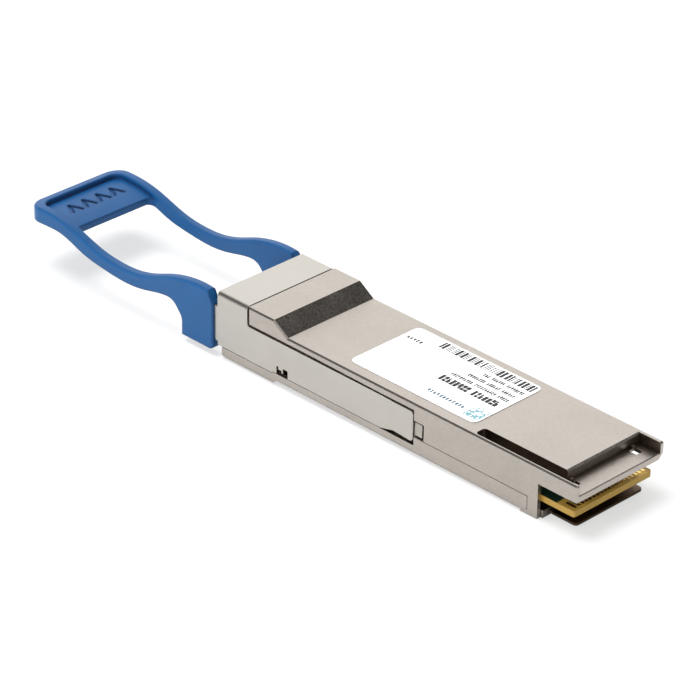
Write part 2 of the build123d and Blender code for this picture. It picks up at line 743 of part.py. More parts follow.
with BuildPart() as port_receptacle:
    block((nose_x + receptacle_setback, receptacle_end_x), (-receptacle_width / 2, receptacle_width / 2),
          (port_low_z - receptacle_wall, port_high_z + receptacle_wall))
    # groove for the gasket
    with BuildSketch(Plane.YZ.offset(nose_x + gasket_setback)):
        with Locations((0, port_z)):
            Rectangle(receptacle_width + outside, port_height + 2 * receptacle_wall + outside)
            Rectangle(receptacle_width - 2 * gasket_depth,
                      port_height + 2 * receptacle_wall - 2 * gasket_depth, mode=Mode.SUBTRACT)
    extrude(amount=gasket_width, mode=Mode.SUBTRACT)
    # port, keyway, and the hole for the ferrule
    block((nose_x - outside, port_back_x), (-port_half, port_half), (port_low_z, port_high_z),
          Mode.SUBTRACT)
    block((nose_x - outside, nose_x + keyway_length), (-keyway_width / 2, keyway_width / 2),
          (port_z, port_high_z + keyway_depth), Mode.SUBTRACT)
    block((port_back_x, receptacle_end_x),
          (-ferrule_width / 2 - ferrule_clearance, ferrule_width / 2 + ferrule_clearance),
          (port_z - ferrule_height / 2 - ferrule_clearance,
           port_z + ferrule_height / 2 + ferrule_clearance), Mode.SUBTRACT)
save(port_receptacle, "port_receptacle")

with BuildPart() as port_gasket:
    with BuildSketch(Plane.YZ.offset(nose_x + gasket_setback)):
        with Locations((0, port_z)):
            Rectangle(receptacle_width, port_height + 2 * receptacle_wall)
            Rectangle(receptacle_width - 2 * gasket_depth,
                      port_height + 2 * receptacle_wall - 2 * gasket_depth, mode=Mode.SUBTRACT)
    extrude(amount=gasket_width)
save(port_gasket, "port_gasket")

with BuildPart() as port_latch:
    block((port_back_x - latch_plate, port_back_x),
          (-latch_plate_size[0] / 2, latch_plate_size[0] / 2),
          (port_z - latch_plate_size[1] / 2, port_z + latch_plate_size[1] / 2))
    for side in (1, -1):
        with BuildSketch(Plane.XY.offset(port_z - latch_arm_height / 2)):
            with BuildLine():
                arm_outer = side * latch_arm_spacing / 2
                arm_inner = side * (latch_arm_spacing / 2 - latch_arm_thickness)
                hook_y = side * (latch_arm_spacing / 2 - latch_arm_thickness - latch_hook)
                arm_tip_x = port_back_x - latch_plate - latch_arm_length
                Polyline(
                    (port_back_x - latch_plate, arm_outer),
                    (arm_tip_x, arm_outer),
                    (arm_tip_x + latch_hook, hook_y),
                    (arm_tip_x + 2 * latch_hook, hook_y),
                    (arm_tip_x + 2 * latch_hook, arm_inner),
                    (port_back_x - latch_plate, arm_inner),
                    close=True,
                )
            make_face()
        extrude(amount=latch_arm_height)
    block((port_back_x - latch_plate, port_back_x),
          (-ferrule_width / 2 - ferrule_clearance, ferrule_width / 2 + ferrule_clearance),
          (port_z - ferrule_height / 2 - ferrule_clearance,
           port_z + ferrule_height / 2 + ferrule_clearance), Mode.SUBTRACT)
save(port_latch, "port_latch")

# ================================================================ ferrule and its pins
with BuildPart() as mt_ferrule:
    block((ferrule_face_x, ferrule_end_x), (-ferrule_width / 2, ferrule_width / 2),
          (port_z - ferrule_height / 2, port_z + ferrule_height / 2))
    block((receptacle_end_x, ferrule_end_x), (-ferrule_shoulder[0] / 2, ferrule_shoulder[0] / 2),
          (port_z - ferrule_shoulder[1] / 2, port_z + ferrule_shoulder[1] / 2))
    with BuildSketch(Plane.YZ.offset(ferrule_face_x)):
        with Locations((0, port_z)):
            with GridLocations(pin_spacing, 0, 2, 1):
                Circle(pin_diameter / 2 + pin_clearance)
    extrude(amount=ferrule_length, mode=Mode.SUBTRACT)
save(mt_ferrule, "mt_ferrule")

with BuildPart() as guide_pins:
    with BuildSketch(Plane.YZ.offset(ferrule_face_x - pin_protrusion)):
        with Locations((0, port_z)):
            with GridLocations(pin_spacing, 0, 2, 1):
                Circle(pin_diameter / 2)
    extrude(amount=pin_protrusion + ferrule_length + clamp_thickness)
    chamfer(
        guide_pins.faces().group_by(Axis.X)[0].edges(),
        length=pin_chamfer,
    )
save(guide_pins, "guide_pins")

with BuildPart() as pin_clamp:
    block((ferrule_end_x, ferrule_end_x + clamp_thickness), (-clamp_size[0] / 2, clamp_size[0] / 2),
          (port_z - clamp_size[1] / 2, port_z + clamp_size[1] / 2))
    with BuildSketch(Plane.YZ.offset(ferrule_end_x)):
        with Locations((0, port_z)):
            with GridLocations(pin_spacing, 0, 2, 1):
                Circle(pin_diameter / 2 + pin_clearance)
    extrude(amount=clamp_thickness, mode=Mode.SUBTRACT)
save(pin_clamp, "pin_clamp")

with BuildPart() as ferrule_boot:
    with BuildSketch(Plane.YZ.offset(boot_x)):
        with Locations((0, port_z)):
            RectangleRounded(*boot_size, boot_corner)
    with BuildSketch(Plane.YZ.offset(boot_x + boot_length)):
        with Locations((0, port_z)):
            RectangleRounded(*boot_end_size, boot_corner)
    loft()
save(ferrule_boot, "ferrule_boot")

# ================================================================ circuit board
board_x = nose_x + board_start
with BuildPart() as circuit_board:
    with BuildSketch(Plane.XY.offset(board_low_z)) as board_plan:
        with Locations(((board_x + board_end_x) / 2, 0)):
            Rectangle(board_end_x - board_x, 2 * (cavity_half - board_side_gap))
        with Locations(((rear_cavity_x + board_side_gap + board_end_x) / 2, 0)):
            Rectangle(board_end_x - rear_cavity_x - board_side_gap, card_edge_width)
        fillet(board_plan.vertices().group_by(Axis.X)[-1], radius=card_edge_corner)
    extrude(amount=board_thickness)
save(circuit_board, "circuit_board")

pad_x = board_end_x - contact_setback - contact_length / 2
for level, level_name in ((board_top_z, "top"), (board_low_z - contact_thickness, "bottom")):
    with BuildPart() as contacts:
        with BuildSketch(Plane.XY.offset(level)):
            with Locations((pad_x, 0)):
                with GridLocations(0, contact_pitch, 1, contact_count):
                    Rectangle(contact_length, contact_width)
        extrude(amount=contact_thickness)
    save(contacts, f"card_edge_contacts_{level_name}")

# ================================================================ chips and optics
processor_z = board_low_z - processor_size[2]
with BuildPart() as signal_processor:
    with Locations((nose_x + processor_position, 0, processor_z + processor_size[2] / 2)):
        Box(*processor_size)
save(signal_processor, "signal_processor")

with BuildPart() as thermal_pad:
    pad_height = processor_z - base_z - floor_thickness
    with Locations((nose_x + processor_position, 0, processor_z - pad_height / 2)):
        Box(processor_size[0], processor_size[1], pad_height)
save(thermal_pad, "thermal_pad")

with BuildPart() as microcontroller:
    with Locations((nose_x + controller_position, 0, board_top_z + controller_size[2] / 2)):
        Box(*controller_size)
save(microcontroller, "microcontroller")

channels = (
    (channel_offset, "laser_driver", "laser_array", "transmit_lens_block", "transmit_ribbon"),
    (-channel_offset, "receiver_amplifier", "photodiode_array", "receive_lens_block",
     "receive_ribbon"),
)
lens_x = nose_x + lens_block_position
ribbon_end_x = lens_x - lens_block_size[0] / 2
ribbon_end_z = board_top_z + ribbon_height
ribbon_start_x = boot_x + boot_length
ribbon_step = (ribbon_end_x - ribbon_start_x) / 5
for centre_y, driver_name, array_name, lens_name, ribbon_name in channels:
    side = 1 if centre_y > 0 else -1
    with BuildPart() as driver:
        with Locations((nose_x + driver_position, centre_y, board_top_z + driver_size[2] / 2)):
            Box(*driver_size)
    save(driver, driver_name)
    with BuildPart() as array:
        with Locations((lens_x, centre_y, board_top_z + array_size[2] / 2)):
            Box(*array_size)
    save(array, array_name)
    with BuildPart() as lens_block:
        with Locations((lens_x, centre_y, board_top_z + lens_block_size[2] / 2)):
            Box(*lens_block_size)
        with Locations((lens_x, centre_y, board_top_z + lens_cavity[2] / 2)):
            Box(*lens_cavity, mode=Mode.SUBTRACT)
        chamfer(lens_block.edges().filter_by(Axis.Y).group_by(Axis.Z)[-1].sort_by(Axis.X)[-1],
                length=lens_chamfer)
    save(lens_block, lens_name)
    # a short ribbon from the boot to the lens block, with some slack in its hump
    ribbon_y = side * ribbon_offset
    with BuildPart() as ribbon:
        with BuildLine() as ribbon_route:
            FilletPolyline(
                (ribbon_start_x, ribbon_y, port_z),
                (ribbon_start_x + ribbon_step, ribbon_y, port_z),
                (ribbon_start_x + 2 * ribbon_step, ribbon_y, port_z + ribbon_hump),
                (ribbon_start_x + 3 * ribbon_step, ribbon_y, port_z + ribbon_hump),
                (ribbon_start_x + 4 * ribbon_step, ribbon_y, ribbon_end_z),
                (ribbon_end_x, ribbon_y, ribbon_end_z),
                radius=ribbon_step * ribbon_bend,
            )
        with BuildSketch(Plane(origin=(ribbon_start_x, ribbon_y, port_z), x_dir=(0, 1, 0),
                               z_dir=(1, 0, 0))):
            Rectangle(ribbon_width, ribbon_thickness)
        sweep()
    save(ribbon, ribbon_name)

with BuildPart() as power_inductors:
    with Locations((nose_x + inductor_position, 0, board_top_z + inductor_size[2] / 2)):
        with GridLocations(0, inductor_spacing, 1, 3):
            Box(*inductor_size)
save(power_inductors, "power_inductors")

with BuildPart() as capacitors:
    with Locations((nose_x + capacitor_position, 0, board_top_z + capacitor_size[2] / 2)):
        with GridLocations(*capacitor_grid, 3, 5):
            Box(*capacitor_size)
    with Locations((rear_x - capacitor_row_setback, 0, board_top_z + capacitor_size[2] / 2)):
        with GridLocations(0, 2 * contact_pitch, 1, 8):
            Box(*capacitor_size)
save(capacitors, "capacitors")

# ================================================================ screws and label
with BuildPart() as cover_screws:
    with Locations(Plane.XY.offset(base_z)):
        with Locations((nose_x + screw_position, 0)):
            with GridLocations(0, screw_spacing, 1, 2):
                Cylinder(screw_radius, screw_length, align=(Align.CENTER, Align.CENTER, Align.MIN))
                Cone(screw_head_radius, screw_radius, screw_head_radius - screw_radius,
                     align=(Align.CENTER, Align.CENTER, Align.MIN))
    # cross recess
    with BuildSketch(Plane.XY.offset(base_z)):
        with Locations((nose_x + screw_position, 0)):
            with GridLocations(0, screw_spacing, 1, 2):
                Rectangle(screw_head_radius, screw_slot)
                Rectangle(screw_slot, screw_head_radius)
    extrude(amount=screw_slot, mode=Mode.SUBTRACT)
save(cover_screws, "cover_screws")

with BuildPart() as label:
    with BuildSketch(Plane.XY.offset(face_z)):
        with Locations((end_x - label_offset - label_length / 2, label_shift)):
            RectangleRounded(label_length, label_width, label_corner)
    extrude(amount=label_thickness)
save(label, "label")
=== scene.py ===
"""Looks of a pluggable optical transceiver module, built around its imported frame.

The metal shells, the release slider, the board and the port keep their shapes from the frame and
get their finishes here. The two return springs are wound here in the place of the frame's, and the
print on the label and the fibre ends in the ferrule are made here.
Metres throughout. +X runs from the pull tab to the card edge, +Z is up, out of the label face.
"""
from __future__ import annotations

import logging
import math
import random
from dataclasses import dataclass, field, replace
from enum import Enum
from typing import Any, Dict, List, Optional, Sequence, Tuple

import bmesh
import bpy
from mathutils import Matrix, Vector

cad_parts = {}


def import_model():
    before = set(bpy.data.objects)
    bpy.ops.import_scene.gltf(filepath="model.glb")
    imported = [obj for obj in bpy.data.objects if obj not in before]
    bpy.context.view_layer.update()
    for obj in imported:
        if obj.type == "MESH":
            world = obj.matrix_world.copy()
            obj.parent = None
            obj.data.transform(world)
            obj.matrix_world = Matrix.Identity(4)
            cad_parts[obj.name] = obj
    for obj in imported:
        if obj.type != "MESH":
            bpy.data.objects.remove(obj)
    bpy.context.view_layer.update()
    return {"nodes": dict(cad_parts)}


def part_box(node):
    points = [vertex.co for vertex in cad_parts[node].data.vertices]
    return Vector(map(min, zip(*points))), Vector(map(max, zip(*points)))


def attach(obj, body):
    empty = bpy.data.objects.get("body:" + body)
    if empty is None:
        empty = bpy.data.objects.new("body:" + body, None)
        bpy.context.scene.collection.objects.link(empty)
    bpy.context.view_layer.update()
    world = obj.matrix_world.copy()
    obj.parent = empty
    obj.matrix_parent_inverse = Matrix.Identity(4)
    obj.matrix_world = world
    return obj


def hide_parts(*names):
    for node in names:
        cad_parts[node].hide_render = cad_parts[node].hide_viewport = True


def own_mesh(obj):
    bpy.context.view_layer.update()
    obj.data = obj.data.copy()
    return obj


LOG = logging.getLogger("transceiver")
MM = 0.001
WHITE = (1.0, 1.0, 1.0)
Colour = Tuple[float, float, float]
Place = Tuple[float, float]
Point = Tuple[float, float, float]
Socket = bpy.types.NodeSocket
Ring = List[bmesh.types.BMVert]


class Body(Enum):
    """The two bodies of the frame."""

    HOUSING = "housing"
    RELEASE = "release"


class Ink(Enum):
    """Printing inks on the label, with the record's slot that stands for each."""

    BLACK = "chip_black"
    TEAL = "ribbon_coat"


class Effect(Enum):
    """The effects that several finishes share."""

    FINE_GRAIN = "fine_grain"
    EDGE_WEAR_AND_SHADE = "edge_wear_and_shade"
    RECESS = "recess"
    HANDLING = "handling"


def from_srgb(red: int, green: int, blue: int) -> Colour:
    """Turn a display colour into the linear colour that the shaders use.

    Args:
        red, green, blue: the display colour, 0 to 255.

    Returns:
        The linear colour, 0 to 1.
    """
    full, toe, toe_slope, lift, power = 255, 0.04045, 12.92, 0.055, 2.4

    def channel(value: int) -> float:
        """Linear value of one channel."""
        share = value / full
        return share / toe_slope if share <= toe else ((share + lift) / (1 + lift)) ** power

    return channel(red), channel(green), channel(blue)


# ------------------------------------------------------------------ shader wiring
class Graph:
    """A node tree being wired, with short calls for its nodes and links."""

    def __init__(self, tree: bpy.types.NodeTree) -> None:
        """Start on an empty tree."""
        self.tree = tree
        tree.nodes.clear()

    def node(self, kind: str, inputs: Optional[Dict[Any, Any]] = None, **settings: Any) -> bpy.types.Node:
        """Add a node.

        Args:
            kind: the node's type, without its ShaderNode prefix.
            inputs: values or output sockets for its inputs, by name or number.
            settings: the node's own properties.

        Returns:
            The node.
        """
        prefix = "" if kind.startswith("Node") else "ShaderNode"
        made = self.tree.nodes.new(prefix + kind)
        for name, value in settings.items():
            setattr(made, name, value)
        for key, value in (inputs or {}).items():
            if isinstance(value, Socket):
                self.tree.links.new(value, made.inputs[key])
            elif isinstance(value, tuple) and made.inputs[key].type == "RGBA":
                made.inputs[key].default_value = (*value, 1.0)
            else:
                made.inputs[key].default_value = value
        return made

    def math(self, operation: str, first: Any, second: Any = 0.0, clamp: bool = False) -> Socket:
        """Work out one value from one or two others."""
        return self.node("Math", {0: first, 1: second}, operation=operation, use_clamp=clamp).outputs[0]

    def remap(self, value: Any, low: float, high: float, to_low: float = 0.0,
              to_high: float = 1.0) -> Socket:
        """Carry a value smoothly from one range to another.

        Args:
            value: the value.
            low, high: the range that it comes from.
            to_low, to_high: the range that it goes to.

        Returns:
            The new value.
        """
        made = self.node("MapRange", {"Value": value, "From Min": low, "From Max": high,
                                      "To Min": to_low, "To Max": to_high},
                         interpolation_type="SMOOTHSTEP")
        return made.outputs["Result"]

    def mix(self, share: Any, first: Any, second: Any) -> Socket:
        """Mix two colours.

        Args:
            share: the second colour's share, 0 to 1.
            first, second: the colours.

        Returns:
            The mixed colour.
        """
        share_in, first_in, second_in, colour_out = 0, 6, 7, 2
        made = self.node("Mix", data_type="RGBA")
        for key, value in ((share_in, share), (first_in, first), (second_in, second)):
            if isinstance(value, Socket):
                self.tree.links.new(value, made.inputs[key])
            else:
                made.inputs[key].default_value = (*value, 1.0) if isinstance(value, tuple) else value
        return made.outputs[colour_out]

    def put(self, values: Dict[str, Socket], into: bpy.types.Node) -> bpy.types.NodeTree:
        """Link values to a group's output sockets by name, and hand back the finished tree."""
        for name, value in values.items():
            self.tree.links.new(value, into.inputs[name])
        return self.tree

    def place(self) -> Socket:
        """Where a point lies on its own piece."""
        return self.node("TexCoord").outputs["Object"]

    def facing(self) -> bpy.types.Node:
        """Which way a point's surface faces, split into X, Y and Z."""
        return self.node("SeparateXYZ", {0: self.node("NewGeometry").outputs["Normal"]})

    def noise(self, place: Socket, scale: Any, detail: float, roughness: float = 0.5,
              distortion: float = 0.0) -> Socket:
        """Noise from 0 to 1.

        Args:
            place: where it is read.
            scale: how many of its patches fit in a metre.
            detail: how many finer layers it has.
            roughness: how strong the finer layers are.
            distortion: how far its patches are bent.

        Returns:
            The noise.
        """
        return self.node("TexNoise", {"Vector": place, "Scale": scale, "Detail": detail,
                                      "Roughness": roughness, "Distortion": distortion}).outputs[0]


class Effects:
    """Shader node groups that several finishes share, each built once."""

    _made: Dict[Effect, bpy.types.NodeTree] = {}

    @classmethod
    def get(cls, effect: Effect) -> bpy.types.NodeTree:
        """An effect's group, built on its first use.

        Args:
            effect: the effect.

        Returns:
            The group.
        """
        if effect not in cls._made:
            build = {Effect.FINE_GRAIN: cls.fine_grain, Effect.EDGE_WEAR_AND_SHADE: cls.edge_wear_and_shade,
                     Effect.RECESS: cls.recess, Effect.HANDLING: cls.handling}[effect]
            cls._made[effect] = build()
        return cls._made[effect]

    @staticmethod
    def _open(effect: Effect, inputs: Sequence[Tuple[str, str, Any]],
              outputs: Sequence[Tuple[str, str]]) -> Tuple[Graph, Dict[str, Socket], bpy.types.Node]:
        """Start a group with its named sockets.

        Args:
            effect: the effect that the group makes.
            inputs: each input's name, kind and default.
            outputs: each output's name and kind.

        Returns:
            The graph, its inputs' sockets by name, and its output node.
        """
        tree = bpy.data.node_groups.new(effect.value, "ShaderNodeTree")
        for label, kind, default in inputs:
            socket = tree.interface.new_socket(label, in_out="INPUT", socket_type="NodeSocket" + kind)
            socket.default_value = default
        for label, kind in outputs:
            tree.interface.new_socket(label, in_out="OUTPUT", socket_type="NodeSocket" + kind)
        graph = Graph(tree)
        given = graph.node("NodeGroupInput")
        named = {label: given.outputs[label] for label, _, _ in inputs}
        return graph, named, graph.node("NodeGroupOutput")

    @staticmethod
    def fine_grain() -> bpy.types.NodeTree:
        """Fine speckle with softer mottling over it, drawn out along X by the streak.

        Returns:
            The group.
        """
        graph, given, output = Effects._open(
            Effect.FINE_GRAIN,
            [("Size", "Float", 0.2 * MM), ("Streak", "Float", 1.0), ("Mottle", "Float", 8.0)],
            [("Speckle", "Float"), ("Mottling", "Float"), ("Height", "Float")],
        )
        mottle_height = 0.3
        along = graph.math("DIVIDE", 1.0, given["Streak"])
        stretch = graph.node("CombineXYZ", {"X": along, "Y": 1.0, "Z": 1.0}).outputs[0]
        drawn = graph.node("VectorMath", {0: graph.place(), 1: stretch}, operation="MULTIPLY").outputs[0]
        fine = graph.noise(drawn, graph.math("DIVIDE", 1.0, given["Size"]), detail=2.0, roughness=0.65)
        mottle_size = graph.math("MULTIPLY", given["Size"], given["Mottle"])
        coarse = graph.noise(drawn, graph.math("DIVIDE", 1.0, mottle_size), detail=3.0)
        height = graph.math("ADD", fine, graph.math("MULTIPLY", coarse, mottle_height))
        return graph.put({"Speckle": fine, "Mottling": coarse, "Height": height}, output)

    @staticmethod
    def edge_wear_and_shade() -> bpy.types.NodeTree:
        """A mask near the edges, for edge wear on some finishes and painted shade on others, and normals that
        round them a little.

        Returns:
            The group.
        """
        graph, given, output = Effects._open(
            Effect.EDGE_WEAR_AND_SHADE,
            [("Radius", "Float", 0.1 * MM), ("Breakup Size", "Float", 1.0 * MM)],
            [("Mask", "Float"), ("Normal", "Vector")],
        )
        rounded = graph.node("Bevel", {"Radius": given["Radius"]}, samples=4).outputs[0]
        flat = graph.node("NewGeometry").outputs["Normal"]
        turn = graph.node("VectorMath", {0: rounded, 1: flat}, operation="DOT_PRODUCT").outputs["Value"]
        breakup = graph.math("DIVIDE", 1.0, given["Breakup Size"])
        patches = graph.noise(graph.place(), breakup, detail=3.0)
        edge = graph.remap(turn, low=1.0, high=0.93)
        uneven = graph.remap(patches, low=0.3, high=0.6, to_low=0.35)
        mask = graph.math("MULTIPLY", edge, uneven, clamp=True)
        return graph.put({"Mask": mask, "Normal": rounded}, output)

    @staticmethod
    def recess() -> bpy.types.NodeTree:
        """How deep a place lies in a corner or gap, from ambient occlusion: 0 on open faces, 1 at the bottom.
        The finishes paint shade with it.

        Returns:
            The group.
        """
        graph, given, output = Effects._open(
            Effect.RECESS,
            [("Reach", "Float", 2.0 * MM), ("Breakup Size", "Float", 1.5 * MM)],
            [("Depth", "Float")],
        )
        open_share = graph.node("AmbientOcclusion", {"Distance": given["Reach"]},
                                samples=8, only_local=True).outputs["AO"]
        breakup = graph.math("DIVIDE", 1.0, given["Breakup Size"])
        smudge = graph.noise(graph.place(), breakup, detail=3.0)
        shut = graph.remap(open_share, low=0.42, high=0.97, to_low=1.0, to_high=0.0)
        uneven = graph.remap(smudge, low=0.3, high=0.7, to_low=0.85, to_high=1.1)
        return graph.put({"Depth": graph.math("MULTIPLY", shut, uneven, clamp=True)}, output)

    @staticmethod
    def handling() -> bpy.types.NodeTree:
        """Slow patches of a surface that has been handled: cleaner here, duller there.

        Returns:
            The group.
        """
        graph, given, output = Effects._open(
            Effect.HANDLING, [("Size", "Float", 12.0 * MM)], [("Patch", "Float")],
        )
        scale = graph.math("DIVIDE", 1.0, given["Size"])
        bent = graph.noise(graph.place(), scale, detail=2.0, distortion=0.6)
        return graph.put({"Patch": graph.remap(bent, low=0.35, high=0.65)}, output)


# ------------------------------------------------------------------ finishes
@dataclass(frozen=True)
class Finish:
    """A surface finish. Its material is made once and kept under its name.

    The grain's contrasts and depth say how strong it is. The recess colour is painted shade inside gaps as
    deep as its reach, and the corner colour paints a darker shade close to corners.
    """

    name: str
    colour: Colour
    roughness: float = 0.5
    grain_size: float = 0.2 * MM
    streak: float = 1.0
    mottle: float = 8.0
    grain_depth: float = 0.004 * MM
    grain_contrast: float = 0.08
    mottle_contrast: float = 0.05
    patch_contrast: float = 0.03
    roughness_spread: float = 0.08
    edge_radius: float = 0.08 * MM
    # Edge colour: lighter worn edges on the metals, painted shade on the pull tab's edges.
    edge_colour: Optional[Colour] = None
    edge_share: float = 0.8
    metallic: float = 0.0
    specular: float = 0.5
    coat: float = 0.0
    recess_reach: float = 0.0
    recess_shade_colour: Optional[Colour] = None
    corner_reach: float = 0.0
    corner_shade_colour: Optional[Colour] = None

    def material(self) -> bpy.types.Material:
        """The finish's material."""
        return bpy.data.materials.get(self.name) or self._build()

    def _build(self) -> bpy.types.Material:
        """Wire the material: colour, roughness and height from the shared effects.

        Returns:
            The material.
        """
        made = bpy.data.materials.new(self.name)
        made.use_nodes = True
        graph = Graph(made.node_tree)
        grain = self._effect(graph, Effect.FINE_GRAIN, Size=self.grain_size, Streak=self.streak,
                             Mottle=self.mottle)
        wear_and_shade = self._effect(graph, Effect.EDGE_WEAR_AND_SHADE, Radius=self.edge_radius)
        patch = self._effect(graph, Effect.HANDLING)["Patch"]
        base = self.base_colour(graph)
        speckled = graph.math("ADD", self._swing(graph, grain["Speckle"], self.grain_contrast),
                              self._swing(graph, grain["Mottling"], self.mottle_contrast))
        tone = graph.math("ADD", speckled, self._swing(graph, patch, self.patch_contrast))
        shade = graph.node("HueSaturation", {"Color": base, "Value": graph.math("ADD", tone, 1.0)}).outputs[0]
        # Edge colour over the edge mask: wear where it is lighter, painted shade where it is darker.
        if self.edge_colour:
            worn_and_shaded = graph.math("MULTIPLY", wear_and_shade["Mask"], self.edge_share)
            shade = graph.mix(worn_and_shaded, shade, self.edge_colour)
        # Painted shade: the recess and corner colours darken gaps and corners by how shut in they are.
        for reach, colour in ((self.recess_reach, self.recess_shade_colour),
                              (self.corner_reach, self.corner_shade_colour)):
            if colour:
                depth = self._effect(graph, Effect.RECESS, Reach=reach)["Depth"]
                shade = graph.mix(depth, shade, colour)
        spread = self._swing(graph, grain["Mottling"], self.roughness_spread)
        gloss = graph.math("ADD", self.roughness, spread, clamp=True)
        bump = graph.node("Bump", {"Height": grain["Height"], "Distance": self.grain_depth,
                                   "Normal": wear_and_shade["Normal"], "Strength": 1.0})
        shader = graph.node("BsdfPrincipled", {
            "Base Color": shade, "Roughness": gloss, "Metallic": self.metallic,
            "Specular IOR Level": self.specular, "Coat Weight": self.coat,
            "Normal": bump.outputs[0],
        })
        self.finish_shader(shader)
        graph.node("OutputMaterial", {0: shader.outputs[0]})
        return made

    @staticmethod
    def _effect(graph: Graph, effect: Effect, **values: float) -> Dict[str, Socket]:
        """Place a shared effect in the material.

        Args:
            graph: the material's graph.
            effect: the effect.
            values: this material's own values for its inputs.

        Returns:
            The effect's output sockets, by name.
        """
        made = graph.node("Group", values, node_tree=Effects.get(effect))
        return {socket.name: socket for socket in made.outputs}

    @staticmethod
    def _swing(graph: Graph, value: Socket, amount: float) -> Socket:
        """A value from 0 to 1 turned into a swing of the given amount about zero."""
        return graph.math("MULTIPLY", graph.math("SUBTRACT", value, 0.5), 2 * amount)

    def base_colour(self, graph: Graph) -> Any:
        """The colour before grain and wear. Finishes with a pattern change this."""
        return self.colour

    def finish_shader(self, shader: bpy.types.Node) -> None:
        """Last changes to the shader. Clear finishes change this."""


@dataclass(frozen=True)
class LaminateFinish(Finish):
    """Glass-epoxy board: green mask on its faces, bare layered laminate at its edges."""

    laminate: Colour = (0.5, 0.33, 0.1)
    mask_end: float = 0.0
    layer: float = 0.11 * MM
    layer_shade: float = 0.62
    face_level: float = 0.7

    def base_colour(self, graph: Graph) -> Any:
        """Mask on the faces up to where it ends, laminate with its glass layers elsewhere.

        Args:
            graph: the material's graph.

        Returns:
            The colour's socket.
        """
        where = graph.node("SeparateXYZ", {0: graph.place()})
        level = graph.math("ABSOLUTE", graph.facing().outputs["Z"])
        on_face = graph.math("GREATER_THAN", level, self.face_level)
        covered = graph.math("LESS_THAN", where.outputs["X"], self.mask_end)
        layers = graph.math("SINE", graph.math("MULTIPLY", where.outputs["Z"], 2 * math.pi / self.layer))
        dark = tuple(self.layer_shade * part for part in self.laminate)
        edge = graph.mix(graph.remap(layers, low=-1.0, high=1.0), dark, self.laminate)
        edge = graph.mix(on_face, edge, self.laminate)
        return graph.mix(graph.math("MULTIPLY", on_face, covered), edge, self.colour)


@dataclass(frozen=True)
class PlatedFinish(Finish):
    """A plated casting: coarser where it slopes, and darker on the thin end lip."""

    blast_size: float = 0.34 * MM
    blast_contrast: float = 1.05
    slope_start: float = 0.25
    slope_full: float = 0.40
    lip_colour: Colour = (0.12, 0.08, 0.05)
    lip_colour_start: float = 1.0
    blend: float = 0.6 * MM

    def base_colour(self, graph: Graph) -> Any:
        """The plate's colour, with coarse specks on the slope and a darker colour on the end lip.

        Args:
            graph: the material's graph.

        Returns:
            The colour's socket.
        """
        place = graph.place()
        facing = graph.facing()
        leaning = graph.math("MULTIPLY", facing.outputs["X"], facing.outputs["Z"])
        sloped = graph.remap(leaning, self.slope_start, self.slope_full)
        specks = graph.noise(place, 1 / self.blast_size, detail=2.0, roughness=0.7)
        swing = graph.math("MULTIPLY", self._swing(graph, specks, self.blast_contrast), sloped)
        rough = graph.node("HueSaturation", {"Color": self.colour,
                                             "Value": graph.math("ADD", swing, 1.0)}).outputs[0]
        # Darker towards the end: the lip colour takes over past its start along X.
        along = graph.node("SeparateXYZ", {0: place}).outputs["X"]
        share = graph.remap(along, self.lip_colour_start, self.lip_colour_start + self.blend)
        return graph.mix(share, rough, self.lip_colour)


@dataclass(frozen=True)
class ShadedTopFinish(Finish):
    """Moulded plastic with painted shade on its upper faces: deeper in colour where it faces up, lighter on
    its sides.
    """

    painted_top_shade: Colour = (0.0040, 0.062, 0.185)
    side_level: float = 0.35
    top_shade_level: float = 0.9

    def base_colour(self, graph: Graph) -> Any:
        """The plastic's colour on the sides, and the deeper colour of the painted shade where it faces up."""
        level = graph.remap(graph.facing().outputs["Z"], self.side_level, self.top_shade_level)
        # Painted shade: the faces that look up take the deeper colour.
        return graph.mix(level, self.colour, self.painted_top_shade)


@dataclass(frozen=True)
class ClearFinish(Finish):
    """Clear moulded resin that lets most of the light through."""

    clearness: float = 0.85
    index: float = 1.6

    def finish_shader(self, shader: bpy.types.Node) -> None:
        """Let the light through, bent by the resin's index."""
        shader.inputs["Transmission Weight"].default_value = self.clearness
        shader.inputs["IOR"].default_value = self.index


# Painted shade: the recess and corner colours darken the shells' tray, grooves and gaps.
NICKEL = PlatedFinish(
    "nickel_plate", (0.50, 0.457, 0.411), roughness=0.33, grain_size=0.36 * MM, streak=1.6,
    mottle=7.0, grain_depth=0.035 * MM, grain_contrast=0.12, patch_contrast=0.02,
    roughness_spread=0.06, edge_radius=0.06 * MM, edge_colour=(0.52, 0.48, 0.42), metallic=1.0,
    recess_reach=5.0 * MM, recess_shade_colour=(0.27, 0.22, 0.18), corner_reach=0.7 * MM,
    corner_shade_colour=(0.15, 0.115, 0.09),
)
# Painted shade: the recess colour darkens the slider's gaps and folds.
SLIDER_SHEET = Finish(
    "plated_sheet", (0.56, 0.535, 0.49), roughness=0.30, grain_size=0.16 * MM, streak=6.0,
    mottle=14.0, grain_contrast=0.03, mottle_contrast=0.035, patch_contrast=0.02,
    roughness_spread=0.05, edge_radius=0.05 * MM, edge_colour=(0.66, 0.64, 0.60), metallic=1.0,
    recess_reach=0.5 * MM, recess_shade_colour=(0.20, 0.18, 0.15),
)
